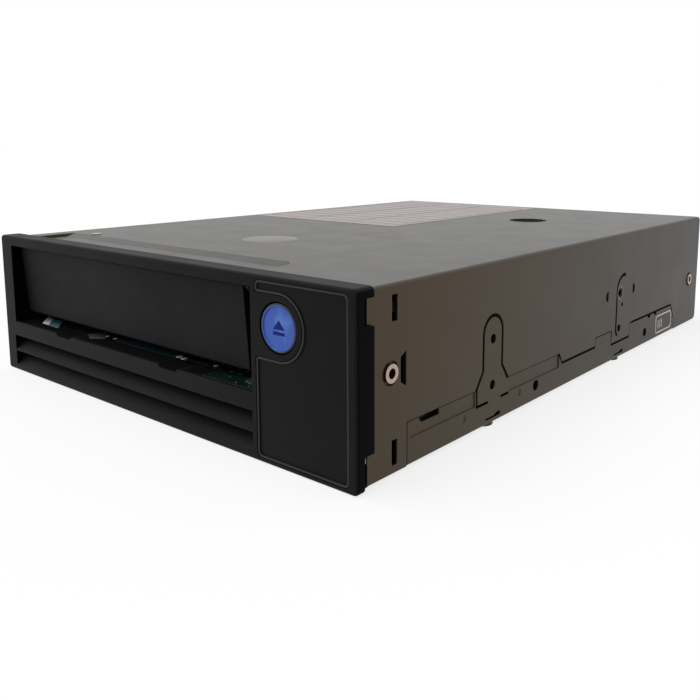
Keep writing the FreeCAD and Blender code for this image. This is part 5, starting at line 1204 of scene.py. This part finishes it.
@dataclass
class CoverPressings(Assembly):
    """Polished discs of the cover's two round pressings, and a black disc of painted shade in its round hole.

    Attributes:
        proud: how far the larger disc stands above the cover.
        depth: how far the discs reach below the cover's upper face.
        sunk: how far that black disc lies below that face.
        hole_shade_thickness: thickness of that black disc.
    """

    proud: float = 0.05
    depth: float = 0.45
    sunk: float = 0.09
    hole_shade_thickness: float = 0.8

    def disc(self, x: float, behind: float, radius: float, foot: float, crest: float) -> Mesh:
        """A disc with a soft edge, a distance behind the cover's front, from its foot to its crest.

        Args:
            x: its middle in X.
            behind: from the cover's front to its middle.
            radius: its radius.
            foot: height of its lower face.
            crest: height of its upper face.

        Returns:
            The disc's mesh.
        """
        rise = crest - foot
        soft = min(0.3, rise / 2)
        profile = [(0, 0), (radius, 0), (radius, rise - soft * 0.3), (radius - 1.2, rise), (0, rise)]
        return settled(spun(profile, (x, COVER.front + behind, foot)))

    def build(self) -> None:
        """Make the pressings' discs and the black disc of painted shade in the hole."""
        foot, crest, hole_shade_top = COVER.high - self.depth, COVER.high + self.proud, COVER.high - self.sunk
        self.piece("large_pressing", self.disc(-5, 45.7, 8.56, foot, crest), CASE_POLISHED, Slot.COVER)
        self.piece("small_pressing", self.disc(15, 74.7, 6.56, foot, crest - 0.02), CASE_STEEL, Slot.COVER)
        self.piece("cover_hole_seal", self.disc(27, 148.7, 5.5, hole_shade_top - self.hole_shade_thickness, hole_shade_top), PAINTED_SHADE_BLACK,
                   Slot.BLACK)


@dataclass
class SideDetails(Assembly):
    """Painted shade in black beads along the seams and slits and on the half-moon slots, the ring round the
    high fixing, and painted shade on the floors of the screws' sockets, on both sides.

    Attributes:
        seam: width of the black beads of painted shade along the seams.
        slit: width of the black beads of painted shade in the slits.
        flange_top: height of the long seam along the flange.
        ear: half width of the ear round the front fixings.
        head: radius of the screws' heads.
        socket_depth: how deep the black floor of painted shade in a socket lies.
        socket_foot: where that floor starts, below the head's face.
    """

    seam: float = 1.0
    slit: float = 1.15
    flange_top: float = 10.75
    ear: float = 4.475
    head: float = 2.1
    socket_depth: float = 0.45
    socket_foot: float = 0.72

    def seams(self) -> list[tuple[Points, float]]:
        """The seams and slits in Y and Z, each with its width.

        Returns:
            The seams' points with their widths.
        """
        front, rear, top, ear = FIXINGS.front, FIXINGS.rear, self.flange_top, self.ear
        tab = [(front - ear - 3.1, top), (front - ear, 15.0)]
        tab += arc_points(front, 24.0, ear, 180, 0, 14) + [(front + ear, 15.0), (front + ear + 3.1, top)]
        lance = arc_points(rear + 2.75, 23.0, 5.2, 75, 180, 10)
        lance += arc_points(rear - 0.85, 10.2, 1.6, 180, 260, 6)
        return [([(front + 36.6, top), (front + 38.5, 7.85), (front + 61.1, 7.85)], self.seam),
                ([(rear - 5.8, 10.3), (rear - 5.8, 6.15), (rear + 8.85, 6.15)], self.seam),
                ([(rear + 10.85, top), (rear + 48.85, top), (rear + 50.75, 7.9)], self.seam),
                (tab, self.slit), (lance, self.slit * 1.2)]

    def screw_middles(self, screws: Place) -> Points:
        """The front and rear screws' middles in Y and Z, to 0.1 mm."""
        return [(round(screws.front + self.head, 1), screws.high - self.head),
                (round(screws.rear - self.head, 1), screws.low + self.head)]

    def build(self) -> None:
        """Make them for both sides."""
        screws = Place.of_node("side_screws")
        moons = [arc_points(FIXINGS.rear - 9.4, FIXINGS.high, 1.7, 90, 270, 8),
                 arc_points(FIXINGS.rear + 10.6, FIXINGS.high, 1.7, -90, 90, 8)]
        around = arc_points(FIXINGS.rear, FIXINGS.high, 2.15, 0, 345, 23)
        hook = box(3.0, 3.9, 5.8, 7.1)
        for side, sign in SIDES:
            foot, crest = sign * (COVER.right - 0.05), sign * (COVER.right + 0.05)
            # Painted shade: black beads along the seams and slits, and black plates on the half-moon slots.
            parts = [bead(run, width, foot, crest, Way.ACROSS, False, 4) for run, width in self.seams()]
            parts += [prism(moon, foot, sign * (COVER.right + 0.03), Way.ACROSS) for moon in moons]
            self.piece(f"seam_filler_{side}", merged(*parts), PAINTED_SHADE_BLACK, Slot.COVER)
            ring = bead(around, 0.42, foot, sign * (COVER.right + 0.06), Way.ACROSS)
            self.piece(f"fixing_ring_{side}", ring, RING_STEEL, Slot.COVER)
            # Painted shade: a black disc on the floor of each screw's socket.
            inner, outer = (sign * (screws.right - depth) for depth in (self.socket_foot, self.socket_depth))
            floors = [prism(arc_points(y, z, 1.13, 0, 345, 23), inner, outer, Way.ACROSS)
                      for y, z in self.screw_middles(screws)]
            self.piece(f"screw_sockets_{side}", merged(*floors), PAINTED_SHADE_BLACK, Slot.SCREW)
            tab = prism(hook, sign * (COVER.right - 0.3), sign * (COVER.right + 0.1), Way.ACROSS, 0.1)
            self.piece(f"snap_tab_{side}", tab, SOLDER_DULL, Slot.SHIELD)


@dataclass
class CoverLabel(Assembly):
    """A plain label with empty ruled cells on the cover.

    Attributes:
        rows: ruled lines across.
        columns: ruled lines along.
        row: distance between the lines across.
        margin: from the label's sides to the rules.
        ahead: from its front edge to the first line.
        line: width of a line.
        rise: its height.
        lift: how far the lines' foot stands above the label.
    """

    rows: int = 12
    columns: int = 4
    row: float = 8.2
    margin: float = 2.5
    ahead: float = 6.0
    line: float = 0.32
    rise: float = 0.03
    lift: float = 0.02

    def build(self) -> None:
        """Rule the cells."""
        label = Place.of_node("blank_label")
        half = self.line / 2
        width, length = label.right - label.left - 2 * self.margin, self.row * (self.rows - 1)
        corner = at(label.left + self.margin, label.front + self.ahead, label.high + self.lift)
        across = prism(box(0, width, -half, half), 0, self.rise)
        lines = arrayed(across, LABEL_INK, corner, (0, self.row), self.rows)
        self.piece("label_rules_across", lines, LABEL_INK, Slot.LABEL, smooth=False)
        along = prism(box(-half, half, 0, length), 0, self.rise)
        rules = arrayed(along, LABEL_INK, corner, (width / (self.columns - 1), 0), self.columns)
        self.piece("label_rules_along", rules, LABEL_INK, Slot.LABEL, smooth=False)


@dataclass
class FlangeInlay(Assembly):
    """The clear inlay pressed into the frame near the flange's rear end, on both sides.

    Attributes:
        front: from the frame's front end to the cover's rear end.
        rear: from its rear end to the cover's rear end.
        low: its lower edge.
        high: its upper edge.
        inset: from the frame's edges to the rim's middle.
    """

    front: float = 44.0
    rear: float = 28.0
    low: float = 2.0
    high: float = 8.8
    inset: float = 0.3

    def build(self) -> None:
        """Lay the rim and the ribs."""
        front, rear = COVER.rear - self.front, COVER.rear - self.rear
        inset, wall = self.inset, COVER.right
        line = rounded(front + inset, rear - inset, self.low + inset, self.high - inset, 1.1, 4)
        for side, sign in SIDES:
            parts = [bead(line, 0.8, sign * (wall - 0.27), sign * (wall + 0.14), Way.ACROSS)]
            for behind in (2.6, 4.4, 6.2):
                rib = [(front + behind, self.low + 1.8), (front + behind, self.high - 1.8)]
                parts.append(bead(rib, 0.7, sign * (wall - 0.04), sign * (wall + 0.08), Way.ACROSS, False))
            self.piece(f"flange_inlay_{side}", merged(*parts), CLEAR_RIM, Slot.SHIELD)


@dataclass
class RearContacts(Assembly):
    """Spring contacts in the rear connectors."""

    def build(self) -> None:
        """Lay each row by its first contact's place: from the connector's left, rear and foot."""
        leaf = prism(box(-0.25, 0.25, -2.2, 2.0), 0, 0.28, Way.UP, 0.08)
        short = prism(box(-0.25, 0.25, -1.6, 1.6), 0, 0.28, Way.UP, 0.08)
        wire = prism([(-3.4, 0), (3.2, 2.6), (3.2, 3.0), (-3.4, 0.4)], -0.2, 0.2, Way.ACROSS, 0.06)
        for name, node, (inward, forward, up), contact, pitch, count in (
            ("host_contacts", "host_connector", (2.8, 3.0, 3.15), leaf, 1.27, 29),
            ("port_contacts", "library_port", (2.6, 3.1, 2.85), short, 1.2, 10),
            ("jack_contacts", "ethernet_jack", (4.4, 6.4, 3.2), wire, 1.02, 8),
        ):
            shell = Place.of_node(node)
            start = at(shell.left + inward, shell.rear - forward, shell.low + up)
            self.piece(name, arrayed(contact, GOLD, start, (pitch, 0), count), GOLD, Slot.SHIELD)


# ---- Stage, lamps and camera ----


@dataclass
class Studio:
    """A plain pale floor, a broad soft sun, the sky and the camera.

    Attributes:
        floor_size: the floor's side in metres.
        floor_shade: how much of the sun's light the floor sends back.
        floor_glow: its own light, which lifts it to white for the camera.
        sun_strength: the sun's strength.
        sun_spread: its angular size in degrees, which softens the shadow.
        ambient: strength of the sky for diffuse light.
        lens: focal length in millimetres, for a sensor 36 mm wide.
        shift: the lens's shift to the side and up, as parts of the sensor's width.
        spot: the camera's place in millimetres, with Y from the bezel's front.
        yaw: how far it looks to the left of the drive's length, in degrees.
        pitch: how far it looks down, in degrees.
    """

    floor_size: float = 60.0
    floor_shade: float = 0.3
    floor_glow: float = 0.76
    sun_strength: float = 1.15
    sun_spread: float = 70.0
    ambient: float = 0.5
    lens: float = 39.857
    shift: tuple[float, float] = (-0.041, -0.13043)
    spot: tuple[float, float, float] = (170.93, -110.51, 70.09)
    yaw: float = 39.568
    pitch: float = 8.289

    def build(self) -> None:
        """Make the floor, the sun, the sky and the camera."""
        self.floor()
        self.sun()
        self.sky()
        self.camera()

    def seen(self, tree: Tree) -> Node:
        """1 for the camera's rays, for glossy rays and for those through clear parts, and 0 for the rest.

        Args:
            tree: the tree that gets the nodes.

        Returns:
            The node that gives 1 or 0.
        """
        path = add_node(tree, "ShaderNodeLightPath")
        either = add_node(tree, "ShaderNodeMath", {"operation": "MAXIMUM"},
                          at_0=path.outputs["Is Glossy Ray"], at_1=path.outputs["Is Transmission Ray"])
        return add_node(tree, "ShaderNodeMath", {"operation": "MAXIMUM"},
                        at_0=path.outputs["Is Camera Ray"], at_1=either)

    def floor(self) -> None:
        """A pale floor that shows white to the camera and keeps the drive's shadow."""
        half = self.floor_size / 2
        mesh = bpy.data.meshes.new("floor")
        corners = [(x, y, 0) for x, y in box(-half, half, -half, half)]
        mesh.from_pydata(corners, [], [(0, 1, 2, 3)])
        floor = bpy.data.objects.new("floor", mesh)
        bpy.context.scene.collection.objects.link(floor)
        paint = bpy.data.materials.new("floor_matt_white")
        tree = cleared(paint)
        matt = add_node(tree, "ShaderNodeBsdfDiffuse", color=(*[self.floor_shade] * 3, 1))
        glow = add_node(tree, "ShaderNodeEmission", color=(1, 1, 1, 1), strength=self.floor_glow)
        seen = self.seen(tree)
        dark = add_node(tree, "ShaderNodeEmission", color=(0, 0, 0, 1), strength=0.0)
        lift = add_node(tree, "ShaderNodeMixShader", at_0=seen, at_1=dark, at_2=glow)
        add_node(tree, "ShaderNodeOutputMaterial", surface=add_node(
            tree, "ShaderNodeAddShader", at_0=matt, at_1=lift))
        mesh.materials.append(paint)

    def sun(self) -> None:
        """A soft white sun high on the left, behind the camera."""
        data = bpy.data.lights.new("sun", "SUN")
        data.energy = self.sun_strength
        data.angle = math.radians(self.sun_spread)
        lamp = bpy.data.objects.new("sun", data)
        lamp.rotation_euler = Vector((0.35, 0.35, -1.0)).to_track_quat("-Z", "Y").to_euler()
        bpy.context.scene.collection.objects.link(lamp)

    def sky(self) -> None:
        """White to the camera and in reflections, and dimmer as diffuse light."""
        world = bpy.data.worlds.new("studio")
        tree = cleared(world)
        seen = self.seen(tree)
        level = add_node(tree, "ShaderNodeMapRange", value=seen, to_min=self.ambient, to_max=1.0)
        sky = add_node(tree, "ShaderNodeBackground", color=(1, 1, 1, 1), strength=level)
        add_node(tree, "ShaderNodeOutputWorld", surface=sky)
        bpy.context.scene.world = world

    def camera(self) -> None:
        """A camera near the drive's front right corner, a little above it."""
        data = bpy.data.cameras.new("camera")
        data.sensor_width = 36.0
        data.lens = self.lens
        data.shift_x, data.shift_y = self.shift
        data.clip_start, data.clip_end = 0.005, 20
        camera = bpy.data.objects.new("camera", data)
        camera.location = at(*self.spot)
        yaw, pitch = math.radians(self.yaw), math.radians(self.pitch)
        level = math.cos(pitch)
        forward = Vector((-math.sin(yaw) * level, math.cos(yaw) * level, -math.sin(pitch)))
        camera.rotation_euler = forward.to_track_quat("-Z", "Y").to_euler()
        bpy.context.scene.collection.objects.link(camera)
        bpy.context.scene.camera = camera


def main() -> None:
    """Dress the CAD nodes, build each group, set up the studio and report each piece."""
    logging.basicConfig(level=logging.INFO, format="%(name)s: %(message)s")
    bpy.context.scene.view_settings.view_transform = "Standard"
    for finish, *nodes in MADE_OF:
        dress(finish, *nodes)
        LOG.info("%s: %s", finish.name, ", ".join(nodes))
    for group in (EjectMark(), PanelBead(), SlotHardware(), CoverPressings(), CoverLabel(), SideDetails(),
                  FlangeInlay(), RearContacts()):
        group.build()
        for made in group.pieces:
            LOG.info("%s: %d faces, %s", made.name, len(made.data.polygons), made.data.materials[0].name)
    Studio().build()


if __name__ == "__main__":
    main()
